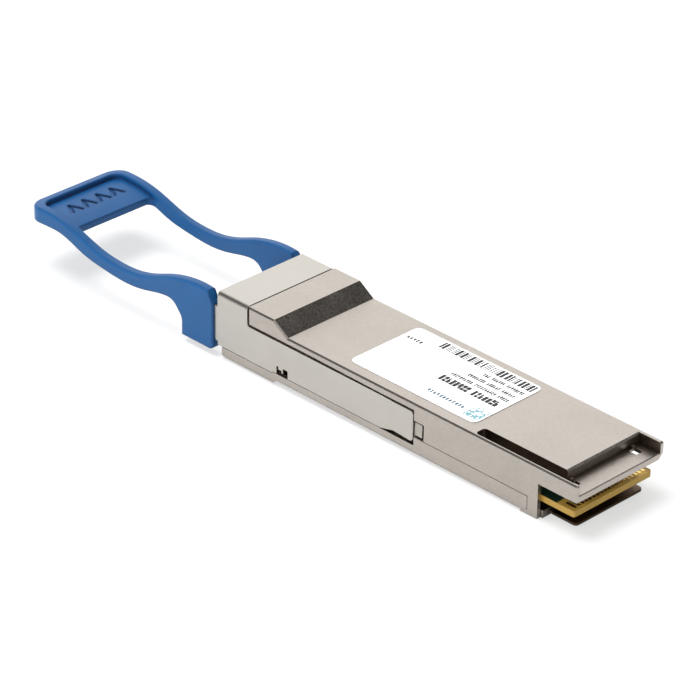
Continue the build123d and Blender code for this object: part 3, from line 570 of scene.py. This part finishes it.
# Painted shade: the dark navy edge colour darkens its edges and rims, the recess colour darkens its hollows,
# and its upper faces take a deeper painted shade.
TAB_PLASTIC = ShadedTopFinish(
    "blue_plastic", (0.0050, 0.091, 0.270), roughness=0.42, grain_size=0.22 * MM, mottle=14.0,
    grain_depth=0.008 * MM, grain_contrast=0.06, mottle_contrast=0.04, roughness_spread=0.06,
    edge_radius=0.55 * MM, edge_colour=(0.005, 0.045, 0.150), specular=0.36, recess_reach=1.2 * MM,
    recess_shade_colour=(0.004, 0.030, 0.105),
)
LABEL_PAPER = Finish(
    "label_film", (0.92, 0.92, 0.92), roughness=0.45, grain_size=0.08 * MM, mottle=20.0,
    grain_depth=0.0008 * MM, grain_contrast=0.01, mottle_contrast=0.01, patch_contrast=0.01,
    roughness_spread=0.05, edge_radius=0.02 * MM,
)
BLACK_INK = Finish(
    "ink_black", (0.012, 0.012, 0.014), roughness=0.55, grain_size=0.05 * MM, mottle=6.0,
    grain_depth=0.0004 * MM, grain_contrast=0.25, mottle_contrast=0.2, patch_contrast=0.1,
    roughness_spread=0.1, edge_radius=0.01 * MM,
)
TEAL_INK = Finish(
    "ink_teal", from_srgb(104, 152, 162), roughness=0.55, grain_size=0.05 * MM, mottle=6.0,
    grain_depth=0.0004 * MM, grain_contrast=0.1, mottle_contrast=0.1, patch_contrast=0.1,
    roughness_spread=0.1, edge_radius=0.01 * MM,
)
SLATE_INK = Finish(
    "ink_slate", from_srgb(44, 82, 104), roughness=0.55, grain_size=0.05 * MM, mottle=6.0,
    grain_depth=0.0004 * MM, grain_contrast=0.15, mottle_contrast=0.15, patch_contrast=0.1,
    roughness_spread=0.1, edge_radius=0.01 * MM,
)
GOLD = Finish(
    "hard_gold", (0.83, 0.60, 0.22), roughness=0.26, grain_size=0.06 * MM, streak=3.0,
    grain_depth=0.0012 * MM, mottle_contrast=0.06, patch_contrast=0.04, edge_radius=0.03 * MM,
    edge_colour=(0.90, 0.70, 0.34), metallic=1.0,
)
PORT_PLASTIC = Finish(
    "port_plastic", (0.018, 0.018, 0.021), roughness=0.48, grain_size=0.1 * MM, mottle=16.0,
    grain_depth=0.002 * MM, grain_contrast=0.15, mottle_contrast=0.12, patch_contrast=0.1,
    edge_colour=(0.05, 0.05, 0.055),
)
GASKET = Finish(
    "gasket_elastomer", (0.045, 0.045, 0.05), roughness=0.75, grain_size=0.08 * MM, mottle=5.0,
    grain_contrast=0.3, mottle_contrast=0.15,
)
LATCH_PLASTIC = Finish(
    "latch_plastic", (0.42, 0.41, 0.37), roughness=0.42, grain_size=0.1 * MM, mottle=16.0,
    grain_depth=0.002 * MM, grain_contrast=0.05, patch_contrast=0.05,
)
FERRULE_RESIN = Finish(
    "ferrule_resin", (0.035, 0.03, 0.028), roughness=0.38, grain_size=0.03 * MM, mottle=6.0,
    grain_depth=0.0008 * MM, grain_contrast=0.5, mottle_contrast=0.2, patch_contrast=0.1,
    edge_radius=0.05 * MM, edge_colour=(0.09, 0.08, 0.07),
)
PIN_STEEL = Finish(
    "ground_steel", (0.60, 0.60, 0.61), roughness=0.18, grain_size=0.03 * MM, streak=6.0,
    grain_depth=0.0004 * MM, grain_contrast=0.05, mottle_contrast=0.04, patch_contrast=0.02,
    roughness_spread=0.05, edge_radius=0.03 * MM, edge_colour=(0.72, 0.72, 0.73), metallic=1.0,
)
BOOT_RUBBER = Finish(
    "boot_rubber", (0.02, 0.02, 0.022), roughness=0.7, grain_size=0.08 * MM, mottle=5.0,
    grain_depth=0.003 * MM, grain_contrast=0.3, mottle_contrast=0.2,
)
RIBBON_COAT = Finish(
    "ribbon_coat", (0.05, 0.33, 0.48), roughness=0.25, grain_size=0.05 * MM, streak=12.0,
    mottle=6.0, grain_depth=0.001 * MM, grain_contrast=0.12, mottle_contrast=0.08,
    roughness_spread=0.05, edge_radius=0.03 * MM, coat=0.4,
)
LENS_RESIN = ClearFinish(
    "lens_resin", (0.86, 0.62, 0.25), roughness=0.08, grain_size=0.05 * MM, mottle=10.0,
    grain_depth=0.0004 * MM, grain_contrast=0.04, mottle_contrast=0.03, patch_contrast=0.02,
    roughness_spread=0.03, edge_radius=0.05 * MM,
)
CHIP_PLASTIC = Finish(
    "chip_package", (0.022, 0.022, 0.024), roughness=0.6, grain_size=0.05 * MM,
    grain_depth=0.0025 * MM, grain_contrast=0.35, mottle_contrast=0.15, patch_contrast=0.08,
    edge_radius=0.04 * MM, edge_colour=(0.06, 0.06, 0.06),
)
BARE_DIE = Finish(
    "bare_die", (0.18, 0.18, 0.22), roughness=0.12, grain_size=0.04 * MM, grain_depth=0.0002 * MM,
    grain_contrast=0.1, mottle_contrast=0.1, roughness_spread=0.04, edge_radius=0.01 * MM,
    edge_colour=(0.4, 0.4, 0.45), metallic=1.0,
)
GAP_PAD = Finish(
    "gap_pad", (0.20, 0.22, 0.30), roughness=0.85, grain_size=0.1 * MM, mottle=4.0,
    grain_depth=0.008 * MM, grain_contrast=0.2, mottle_contrast=0.12,
)
FERRITE = Finish(
    "ferrite_body", (0.06, 0.06, 0.065), roughness=0.65, grain_size=0.05 * MM, mottle=6.0,
    grain_contrast=0.35, mottle_contrast=0.2, patch_contrast=0.08, roughness_spread=0.1,
    edge_radius=0.05 * MM, edge_colour=(0.14, 0.14, 0.14),
)
CERAMIC = Finish(
    "ceramic_body", (0.30, 0.18, 0.09), grain_size=0.04 * MM, mottle=6.0, grain_depth=0.0015 * MM,
    grain_contrast=0.15, mottle_contrast=0.12, patch_contrast=0.08, edge_radius=0.04 * MM,
    edge_colour=(0.42, 0.30, 0.18),
)
SPRING_WIRE = Finish(
    "spring_wire", (0.45, 0.45, 0.46), roughness=0.28, grain_size=0.03 * MM, mottle=6.0,
    grain_depth=0.0008 * MM, grain_contrast=0.12, mottle_contrast=0.08, edge_radius=0.02 * MM,
    metallic=1.0,
)
SCREW_STEEL = Finish(
    "screw_steel", (0.46, 0.44, 0.41), roughness=0.32, grain_size=0.06 * MM,
    grain_depth=0.0015 * MM, grain_contrast=0.12, mottle_contrast=0.1, patch_contrast=0.05,
    edge_radius=0.05 * MM, edge_colour=(0.60, 0.58, 0.54), metallic=1.0,
)
FIBRE_GLASS = Finish(
    "fibre_end", (0.75, 0.80, 0.85), roughness=0.06, grain_size=0.02 * MM, mottle=4.0,
    grain_depth=0.0001 * MM, grain_contrast=0.05, patch_contrast=0.0, roughness_spread=0.03,
    edge_radius=0.005 * MM,
)


# ------------------------------------------------------------------ mesh work
class Draft:
    """A mesh being drawn from closed solids."""

    def __init__(self, name: str) -> None:
        """Start an empty mesh under the piece's name."""
        self.name = name
        self.mesh = bmesh.new()

    def ring(self, points: Sequence[Sequence[float]]) -> Ring:
        """Add one ring of corners."""
        return [self.mesh.verts.new(point) for point in points]

    def skin(self, rings: Sequence[Ring], smooth: bool = False) -> None:
        """Close a stack of rings into a solid.

        Args:
            rings: its rings, all with the same number of corners.
            smooth: whether its sides are shaded as one round face.
        """
        self.mesh.faces.new(rings[0])
        self.mesh.faces.new(rings[-1][::-1])
        for near, far in zip(rings, rings[1:]):
            for number, corner in enumerate(near):
                after = (number + 1) % len(near)
                side = self.mesh.faces.new((corner, near[after], far[after], far[number]))
                side.smooth = smooth

    def prism(self, outline: Sequence[Place], low: float, high: float) -> None:
        """Add a closed upright prism.

        Args:
            outline: its corners in plan, anticlockwise.
            low: height of its bottom.
            high: height of its top.
        """
        self.skin([self.ring([(x, y, z) for x, y in outline]) for z in (low, high)])

    def block(self, x: float, y: float, length: float, width: float, low: float, high: float) -> None:
        """Add a flat block from its lowest corner."""
        self.prism([(x, y), (x + length, y), (x + length, y + width), (x, y + width)], low, high)

    def disc(self, centre: Point, radius: float, thickness: float, sides: int = 20) -> None:
        """Add a thin disc that faces -X, domed by a smaller front ring.

        Args:
            centre: middle of its back.
            radius: its radius.
            thickness: how far it stands out.
            sides: how many sides it has.
        """
        turns = [2 * math.pi * number / sides for number in range(sides)]
        back, shoulder, front = (1.0, 0.0), (1.0, -0.6), (0.7, -1.0)
        self.skin([
            self.ring([(centre[0] + depth * thickness, centre[1] + share * radius * math.cos(turn),
                        centre[2] + share * radius * math.sin(turn)) for turn in turns])
            for share, depth in (back, shoulder, front)
        ])

    def tube(self, path: Sequence[Vector], outward: Sequence[Vector], radius: float, sides: int) -> None:
        """Add a round bar along a path, with flat ends.

        Args:
            path: the points of its centre line.
            outward: at each point, a direction square to the path.
            radius: the bar's radius.
            sides: how many sides its section has.
        """
        turns = [2 * math.pi * number / sides for number in range(sides)]
        rings = []
        for number, (place, out) in enumerate(zip(path, outward)):
            along = path[min(number + 1, len(path) - 1)] - path[max(number - 1, 0)]
            across = along.cross(out).normalized()
            rings.append(self.ring([
                place + radius * (math.cos(turn) * out + math.sin(turn) * across) for turn in turns]))
        self.skin(rings, smooth=True)

    def piece(self, finish: Finish, body: Body) -> bpy.types.Object:
        """Turn the draft into a piece that rides on a body.

        Args:
            finish: the piece's finish.
            body: the body it moves with.

        Returns:
            The new object.
        """
        bmesh.ops.recalc_face_normals(self.mesh, faces=self.mesh.faces)
        data = bpy.data.meshes.new(self.name)
        self.mesh.to_mesh(data)
        self.mesh.free()
        made = bpy.data.objects.new(self.name, data)
        bpy.context.scene.collection.objects.link(made)
        data.materials.append(finish.material())
        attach(made, body.value)
        LOG.info("made %s: %d faces", self.name, len(data.polygons))
        return made


def dress(nodes: Dict[str, bpy.types.Object], finishes: Dict[str, Finish]) -> None:
    """Give frame nodes their finishes.

    Args:
        nodes: the frame's nodes, by name.
        finishes: each node's finish, by the node's name.
    """
    for name, finish in finishes.items():
        mesh = nodes[name].data
        mesh.materials.clear()
        mesh.materials.append(finish.material())
        LOG.info("dressed %s in %s", name, finish.name)


# ------------------------------------------------------------------ sub-assemblies
@dataclass
class Shells:
    """The two halves of the housing and the screws that hold them."""

    nodes: Dict[str, bpy.types.Object]
    lip_length: float = 5.0 * MM

    def build(self) -> None:
        """Dress the shells and the screws."""
        lip_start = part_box("lower_housing")[1].x - self.lip_length
        lower = replace(NICKEL, name="nickel_plate_lower", edge_colour=None, lip_colour_start=lip_start)
        dress(self.nodes, {"upper_housing": NICKEL, "lower_housing": lower, "cover_screws": SCREW_STEEL})


@dataclass
class ReturnSpring:
    """A compression spring with closed ends, in the place of its frame node."""

    node: str
    travel: float
    wire: float = 0.2 * MM
    turns: int = 9
    closed_turns: int = 1
    points_per_turn: int = 24
    sides: int = 10

    def build(self) -> None:
        """Wind the spring in the place of the frame's, which is hidden."""
        low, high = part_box(self.node)
        middle = (low + high) / 2
        length = high.x - low.x
        radius = (high.y - low.y - self.wire) / 2
        path, outward = [], []
        for number in range(self.turns * self.points_per_turn + 1):
            turn = number / self.points_per_turn
            out = Vector((0.0, math.cos(2 * math.pi * turn), math.sin(2 * math.pi * turn)))
            path.append(Vector((low.x + self.rise(turn, length), middle.y, middle.z)) + radius * out)
            outward.append(out)
        draft = Draft(f"{self.node}_coil")
        draft.tube(path, outward, self.wire / 2, self.sides)
        made = draft.piece(SPRING_WIRE, Body.HOUSING)
        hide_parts(self.node)
        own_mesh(made)

    def rise(self, turn: float, length: float) -> float:
        """How far along the spring its wire has come.

        Args:
            turn: turns from the start.
            length: the spring's length.

        Returns:
            The distance of the wire's centre from the spring's start.
        """
        closed = self.closed_turns * self.wire
        if turn <= self.closed_turns:
            return self.wire / 2 + turn * self.wire
        if turn >= self.turns - self.closed_turns:
            return length - self.wire / 2 - (self.turns - turn) * self.wire
        share = (turn - self.closed_turns) / (self.turns - 2 * self.closed_turns)
        return self.wire / 2 + closed + share * (length - self.wire - 2 * closed)


@dataclass
class Release:
    """The de-latch slider, its pull tab and its return springs."""

    nodes: Dict[str, bpy.types.Object]
    travel: float = 2.0 * MM

    def build(self) -> None:
        """Dress the sliding pieces and wind the springs."""
        dress(self.nodes, {"delatch_slider": SLIDER_SHEET, "pull_tab": TAB_PLASTIC})
        for side in ("left", "right"):
            ReturnSpring(f"return_spring_{side}", self.travel).build()


@dataclass(frozen=True)
class PrintRow:
    """A row of plain marks that stands in for print. Its start is on the label, from its corner."""

    name: str
    start: Place
    length: float
    height: float
    pitch: float
    width: float
    gap_share: float
    finish: Finish = BLACK_INK


ROWS = (
    PrintRow("label_row_bold", (12.6 * MM, 5.5 * MM), length=12.1 * MM, height=1.55 * MM,
             pitch=0.72 * MM, width=0.60 * MM, gap_share=0.03),
    PrintRow("label_row_upper", (13.1 * MM, 7.75 * MM), length=11.7 * MM, height=0.8 * MM,
             pitch=0.42 * MM, width=0.29 * MM, gap_share=0.07),
    PrintRow("label_row_middle", (15.0 * MM, 9.3 * MM), length=9.6 * MM, height=0.8 * MM,
             pitch=0.42 * MM, width=0.29 * MM, gap_share=0.12),
    PrintRow("label_row_lower", (16.6 * MM, 10.85 * MM), length=8.3 * MM, height=0.8 * MM,
             pitch=0.42 * MM, width=0.29 * MM, gap_share=0.05),
    PrintRow("label_row_slate", (13.9 * MM, 1.9 * MM), length=8.0 * MM, height=0.75 * MM,
             pitch=0.62 * MM, width=0.38 * MM, gap_share=0.06, finish=SLATE_INK),
    PrintRow("label_row_corner", (0.9 * MM, 11.0 * MM), length=3.6 * MM, height=0.75 * MM,
             pitch=0.62 * MM, width=0.36 * MM, gap_share=0.0),
)


@dataclass
class PrintedLabel:
    """The white label and its print: bars, rows of plain marks and a grid of squares."""

    nodes: Dict[str, bpy.types.Object]
    ink: float = 0.012 * MM
    bar_start: Place = (6.2 * MM, 12.35 * MM)
    bar_end: float = 24.7 * MM
    bar_height: float = 1.85 * MM
    bar_module: float = 0.17 * MM
    bar_widths: Tuple[int, ...] = (1, 1, 2, 3)
    bar_gaps: Tuple[int, ...] = (1, 1, 2)
    mark_spread: Tuple[float, float] = (0.85, 1.1)
    grid_start: Place = (22.1 * MM, 0.85 * MM)
    grid_cells: int = 10
    grid_pitch: float = 0.29 * MM
    grid_cell_share: float = 0.92
    grid_filled: float = 0.55
    seed: int = 7
    draw: random.Random = field(init=False)

    def __post_init__(self) -> None:
        """Find the label's lowest corner and top, and seed the draws."""
        low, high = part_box("label")
        self.x, self.y, self.top = low.x, low.y, high.z
        self.draw = random.Random(self.seed)

    def build(self) -> None:
        """Dress the label and print on it."""
        dress(self.nodes, {"label": LABEL_PAPER})
        self.bars()
        for row in ROWS:
            self.row(row)
        self.grid()

    def print_block(self, draft: Draft, x: float, y: float, length: float, width: float) -> None:
        """Print one block of ink, placed from the label's lowest corner.

        Args:
            draft: the print that it joins.
            x, y: its lowest corner.
            length: its size along X.
            width: its size along Y.
        """
        draft.block(self.x + x, self.y + y, length, width, self.top - self.ink, self.top + self.ink)

    def bars(self) -> None:
        """Print the row of bars of drawn widths."""
        draft = Draft("label_bars")
        x, y = self.bar_start
        while x < self.bar_end:
            width = self.bar_module * self.draw.choice(self.bar_widths)
            self.print_block(draft, x, y, width, self.bar_height)
            x += width + self.bar_module * self.draw.choice(self.bar_gaps)
        draft.piece(BLACK_INK, Body.HOUSING)

    def row(self, row: PrintRow) -> None:
        """Print a row of plain marks, with some left out.

        Args:
            row: the row's place and sizes.
        """
        draft = Draft(row.name)
        for number in range(int(row.length / row.pitch)):
            if self.draw.random() < row.gap_share:
                continue
            width = row.width * self.draw.uniform(*self.mark_spread)
            self.mark(draft, row.start[0] + number * row.pitch, row.start[1], width, row.height)
        draft.piece(row.finish, Body.HOUSING)

    def mark(self, draft: Draft, x: float, y: float, width: float, height: float) -> None:
        """Print one plain mark: a block, two stacked bars, or an upright beside a shorter one.

        Args:
            draft: the row that it joins.
            x, y: its lowest corner, from the label's.
            width: its width.
            height: its height.
        """
        half, middle = width / 2, height / 2
        short, shorter, step, gap = 0.7 * height, 0.6 * height, 0.3 * height, 0.1 * height
        shapes = (
            ((0.0, 0.0, width, height),),
            ((0.0, 0.0, width, height - gap),),
            ((0.0, 0.0, width, middle - gap), (0.0, middle, width, middle)),
            ((0.0, 0.0, half, height), (half, 0.0, half, shorter)),
            ((0.0, step, half, short), (half, 0.0, half, height)),
        )
        for left, below, wide, tall in self.draw.choice(shapes):
            self.print_block(draft, x + left, y + below, wide, tall)

    def grid(self) -> None:
        """Print a small square grid with drawn cells left out."""
        draft = Draft("label_grid")
        cell = self.grid_pitch * self.grid_cell_share
        x, y = self.grid_start
        for column in range(self.grid_cells):
            for line in range(self.grid_cells):
                if self.draw.random() < self.grid_filled:
                    self.print_block(draft, x + column * self.grid_pitch, y + line * self.grid_pitch,
                                     cell, cell)
        draft.piece(TEAL_INK, Body.HOUSING)


@dataclass
class FibrePort:
    """The port, its latch and gasket, and the ferrule with its pins and fibre ends."""

    nodes: Dict[str, bpy.types.Object]
    fibre_count: int = 12
    fibre_pitch: float = 0.25 * MM
    fibre_radius: float = 0.0625 * MM
    proud: float = 0.004 * MM

    def build(self) -> None:
        """Dress the port's pieces and set the fibre ends in the ferrule's face."""
        dress(self.nodes, {
            "port_receptacle": PORT_PLASTIC, "port_gasket": GASKET, "port_latch": LATCH_PLASTIC,
            "mt_ferrule": FERRULE_RESIN, "guide_pins": PIN_STEEL, "pin_clamp": PIN_STEEL,
            "ferrule_boot": BOOT_RUBBER,
        })
        low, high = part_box("mt_ferrule")
        draft = Draft("fibre_ends")
        middle = (low.y + high.y) / 2
        for number in range(self.fibre_count):
            y = middle + (number - (self.fibre_count - 1) / 2) * self.fibre_pitch
            draft.disc((low.x + self.proud, y, (low.z + high.z) / 2), self.fibre_radius, 2 * self.proud)
        draft.piece(FIBRE_GLASS, Body.HOUSING)


@dataclass
class Board:
    """The circuit board with its contacts, chips and optics."""

    nodes: Dict[str, bpy.types.Object]
    bare_end: float = 3.4 * MM
    mask: Colour = from_srgb(24, 52, 40)
    laminate: Colour = from_srgb(206, 166, 74)

    def build(self) -> None:
        """Dress the board and everything on it."""
        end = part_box("circuit_board")[1].x
        laminate = LaminateFinish(
            "board_laminate", self.mask, grain_size=0.12 * MM, mottle=6.0,
            grain_depth=0.003 * MM, grain_contrast=0.12, mottle_contrast=0.12, patch_contrast=0.05,
            edge_radius=0.05 * MM, laminate=self.laminate, mask_end=end - self.bare_end,
        )
        dress(self.nodes, {
            "circuit_board": laminate, "card_edge_contacts_top": GOLD, "card_edge_contacts_bottom": GOLD,
            "signal_processor": CHIP_PLASTIC, "microcontroller": CHIP_PLASTIC, "laser_driver": CHIP_PLASTIC,
            "receiver_amplifier": CHIP_PLASTIC, "thermal_pad": GAP_PAD, "laser_array": BARE_DIE,
            "photodiode_array": BARE_DIE, "transmit_lens_block": LENS_RESIN,
            "receive_lens_block": LENS_RESIN, "transmit_ribbon": RIBBON_COAT,
            "receive_ribbon": RIBBON_COAT, "power_inductors": FERRITE, "capacitors": CERAMIC,
        })


# ------------------------------------------------------------------ studio
@dataclass(frozen=True)
class Lamp:
    """A round lamp that shines on the object and isn't mirrored by it."""

    name: str
    towards: Point
    distance: float
    diameter: float
    watts: float
    shadow: bool = True

    def hang(self) -> None:
        """Hang the lamp in its direction from the object, turned to shine back on it."""
        data = bpy.data.lights.new(self.name, "AREA")
        data.shape = "DISK"
        data.size = self.diameter
        data.energy = self.watts
        data.use_shadow = self.shadow
        way = Vector(self.towards)
        made = bpy.data.objects.new(self.name, data)
        made.location = way.normalized() * self.distance
        made.rotation_euler = way.to_track_quat("Z", "Y").to_euler()
        made.visible_glossy = False
        bpy.context.scene.collection.objects.link(made)


@dataclass(frozen=True)
class Card:
    """A bright or dark card in the surroundings: its way, its edge and core in degrees, its gain."""

    towards: Point
    edge: float
    core: float
    gain: float


@dataclass
class Studio:
    """A plain white table, soft light and the camera."""

    aim: Point = (18.6 * MM, 0.0, 4.6 * MM)
    azimuth: float = 44.880
    elevation: float = 29.376
    roll: float = 0.872
    across: float = -9.890 * MM
    up: float = 5.610 * MM
    distance: float = 546.4 * MM
    lens: float = 190.57
    sensor: float = 36.0
    near: float = 0.01
    far: float = 20.0
    table_half: float = 3.0
    table_drop: float = 0.02 * MM
    table_tilt: float = 0.6
    table_colour: Colour = (0.60, 0.60, 0.60)
    table_roughness: float = 0.9
    table_specular: float = 0.1
    table_glow: float = 1.30
    table_glow_share: float = 0.46
    foot_end: float = -3.0 * MM
    sky: float = 0.62
    sky_least: float = 0.02
    sky_seen: float = 1.1
    cards: Tuple[Card, ...] = (
        Card((-0.615, 0.617, 0.49), edge=50.0, core=12.0, gain=0.72),
        Card((0.19, 0.62, 0.76), edge=38.0, core=14.0, gain=-0.75),
        Card((-0.615, -0.49, 0.617), edge=34.0, core=8.0, gain=-0.5),
    )
    lamps: Tuple[Lamp, ...] = (
        Lamp("overhead", (-0.30, -0.10, 0.95), distance=0.7, diameter=0.46, watts=6.2),
        Lamp("front", (-0.25, -0.90, 0.35), distance=0.8, diameter=0.60, watts=2.2, shadow=False),
    )

    def build(self) -> None:
        """Set up the camera, the table and the light."""
        self.camera()
        self.table()
        self.world()
        for lamp in self.lamps:
            lamp.hang()
        bpy.context.scene.view_settings.view_transform = "Standard"

    def camera(self) -> None:
        """Place the camera by its azimuth, elevation, roll and offset from the aim."""
        turn, tilt, roll = (math.radians(angle) for angle in (self.azimuth, self.elevation, self.roll))
        right = Vector((math.cos(turn), math.sin(turn), 0.0))
        back = Vector((math.sin(turn) * math.cos(tilt), -math.cos(turn) * math.cos(tilt), math.sin(tilt)))
        upright = back.cross(right)
        side = math.cos(roll) * right + math.sin(roll) * upright
        top = math.cos(roll) * upright - math.sin(roll) * right
        place = Vector(self.aim) + self.across * side + self.up * top + self.distance * back
        data = bpy.data.cameras.new("camera")
        data.lens = self.lens
        data.sensor_width = self.sensor
        data.clip_start = self.near
        data.clip_end = self.far
        made = bpy.data.objects.new("camera", data)
        made.matrix_world = Matrix.Translation(place) @ Matrix((side, top, back)).transposed().to_4x4()
        bpy.context.scene.collection.objects.link(made)
        bpy.context.scene.camera = made

    def table(self) -> None:
        """Lay the table, tipped a little so that the foot and the far end both rest on it."""
        shape = bmesh.new()
        corners = [shape.verts.new((x * self.table_half, y * self.table_half, 0.0))
                   for x, y in ((-1, -1), (1, -1), (1, 1), (-1, 1))]
        shape.faces.new(corners)
        data = bpy.data.meshes.new("table")
        shape.to_mesh(data)
        shape.free()
        data.materials.append(self.table_paper())
        made = bpy.data.objects.new("table", data)
        bpy.context.scene.collection.objects.link(made)
        tip = Matrix.Rotation(-math.radians(self.table_tilt), 4, "Y")
        made.matrix_world = Matrix.Translation((self.foot_end, 0.0, -self.table_drop)) @ tip

    def table_paper(self) -> bpy.types.Material:
        """White paper that looks brighter than the metal sees it.

        Returns:
            The material.
        """
        paper = bpy.data.materials.new("table_white")
        paper.use_nodes = True
        graph = Graph(paper.node_tree)
        surface = graph.node("BsdfPrincipled", {
            "Base Color": self.table_colour, "Roughness": self.table_roughness,
            "Specular IOR Level": self.table_specular,
        })
        glow = graph.node("Emission", {"Color": WHITE, "Strength": self.table_glow})
        seen = graph.node("LightPath").outputs["Is Camera Ray"]
        share = graph.math("MULTIPLY", seen, self.table_glow_share)
        both = graph.node("MixShader", {0: share, 1: surface.outputs[0], 2: glow.outputs[0]})
        graph.node("OutputMaterial", {0: both.outputs[0]})
        return paper

    def world(self) -> None:
        """White surroundings with a brighter card and two dark ones, for the metal to mirror."""
        world = bpy.data.worlds.new("studio")
        bpy.context.scene.world = world
        world.use_nodes = True
        graph = Graph(world.node_tree)
        way = graph.node("TexCoord").outputs["Generated"]
        level: Any = self.sky
        for card in self.cards:
            near = graph.node("VectorMath", {0: way, 1: card.towards},
                              operation="DOT_PRODUCT").outputs["Value"]
            edge, core = (math.cos(math.radians(angle)) for angle in (card.edge, card.core))
            level = graph.math("ADD", level, graph.remap(near, edge, core, to_high=card.gain))
        level = graph.math("MAXIMUM", level, self.sky_least)
        seen = graph.node("LightPath").outputs["Is Camera Ray"]
        strength = graph.math("MAXIMUM", level, graph.math("MULTIPLY", seen, self.sky_seen))
        light = graph.node("Background", {"Color": WHITE, "Strength": strength})
        graph.node("OutputWorld", {0: light.outputs[0]})


def main() -> None:
    """Load the frame and build everything around it."""
    logging.basicConfig(level=logging.INFO, format="%(message)s")
    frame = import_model()
    Studio().build()
    for assembly in (Shells, Release, PrintedLabel, FibrePort, Board):
        LOG.info("building %s", assembly.__name__)
        assembly(frame["nodes"]).build()


if __name__ == "__main__":
    main()
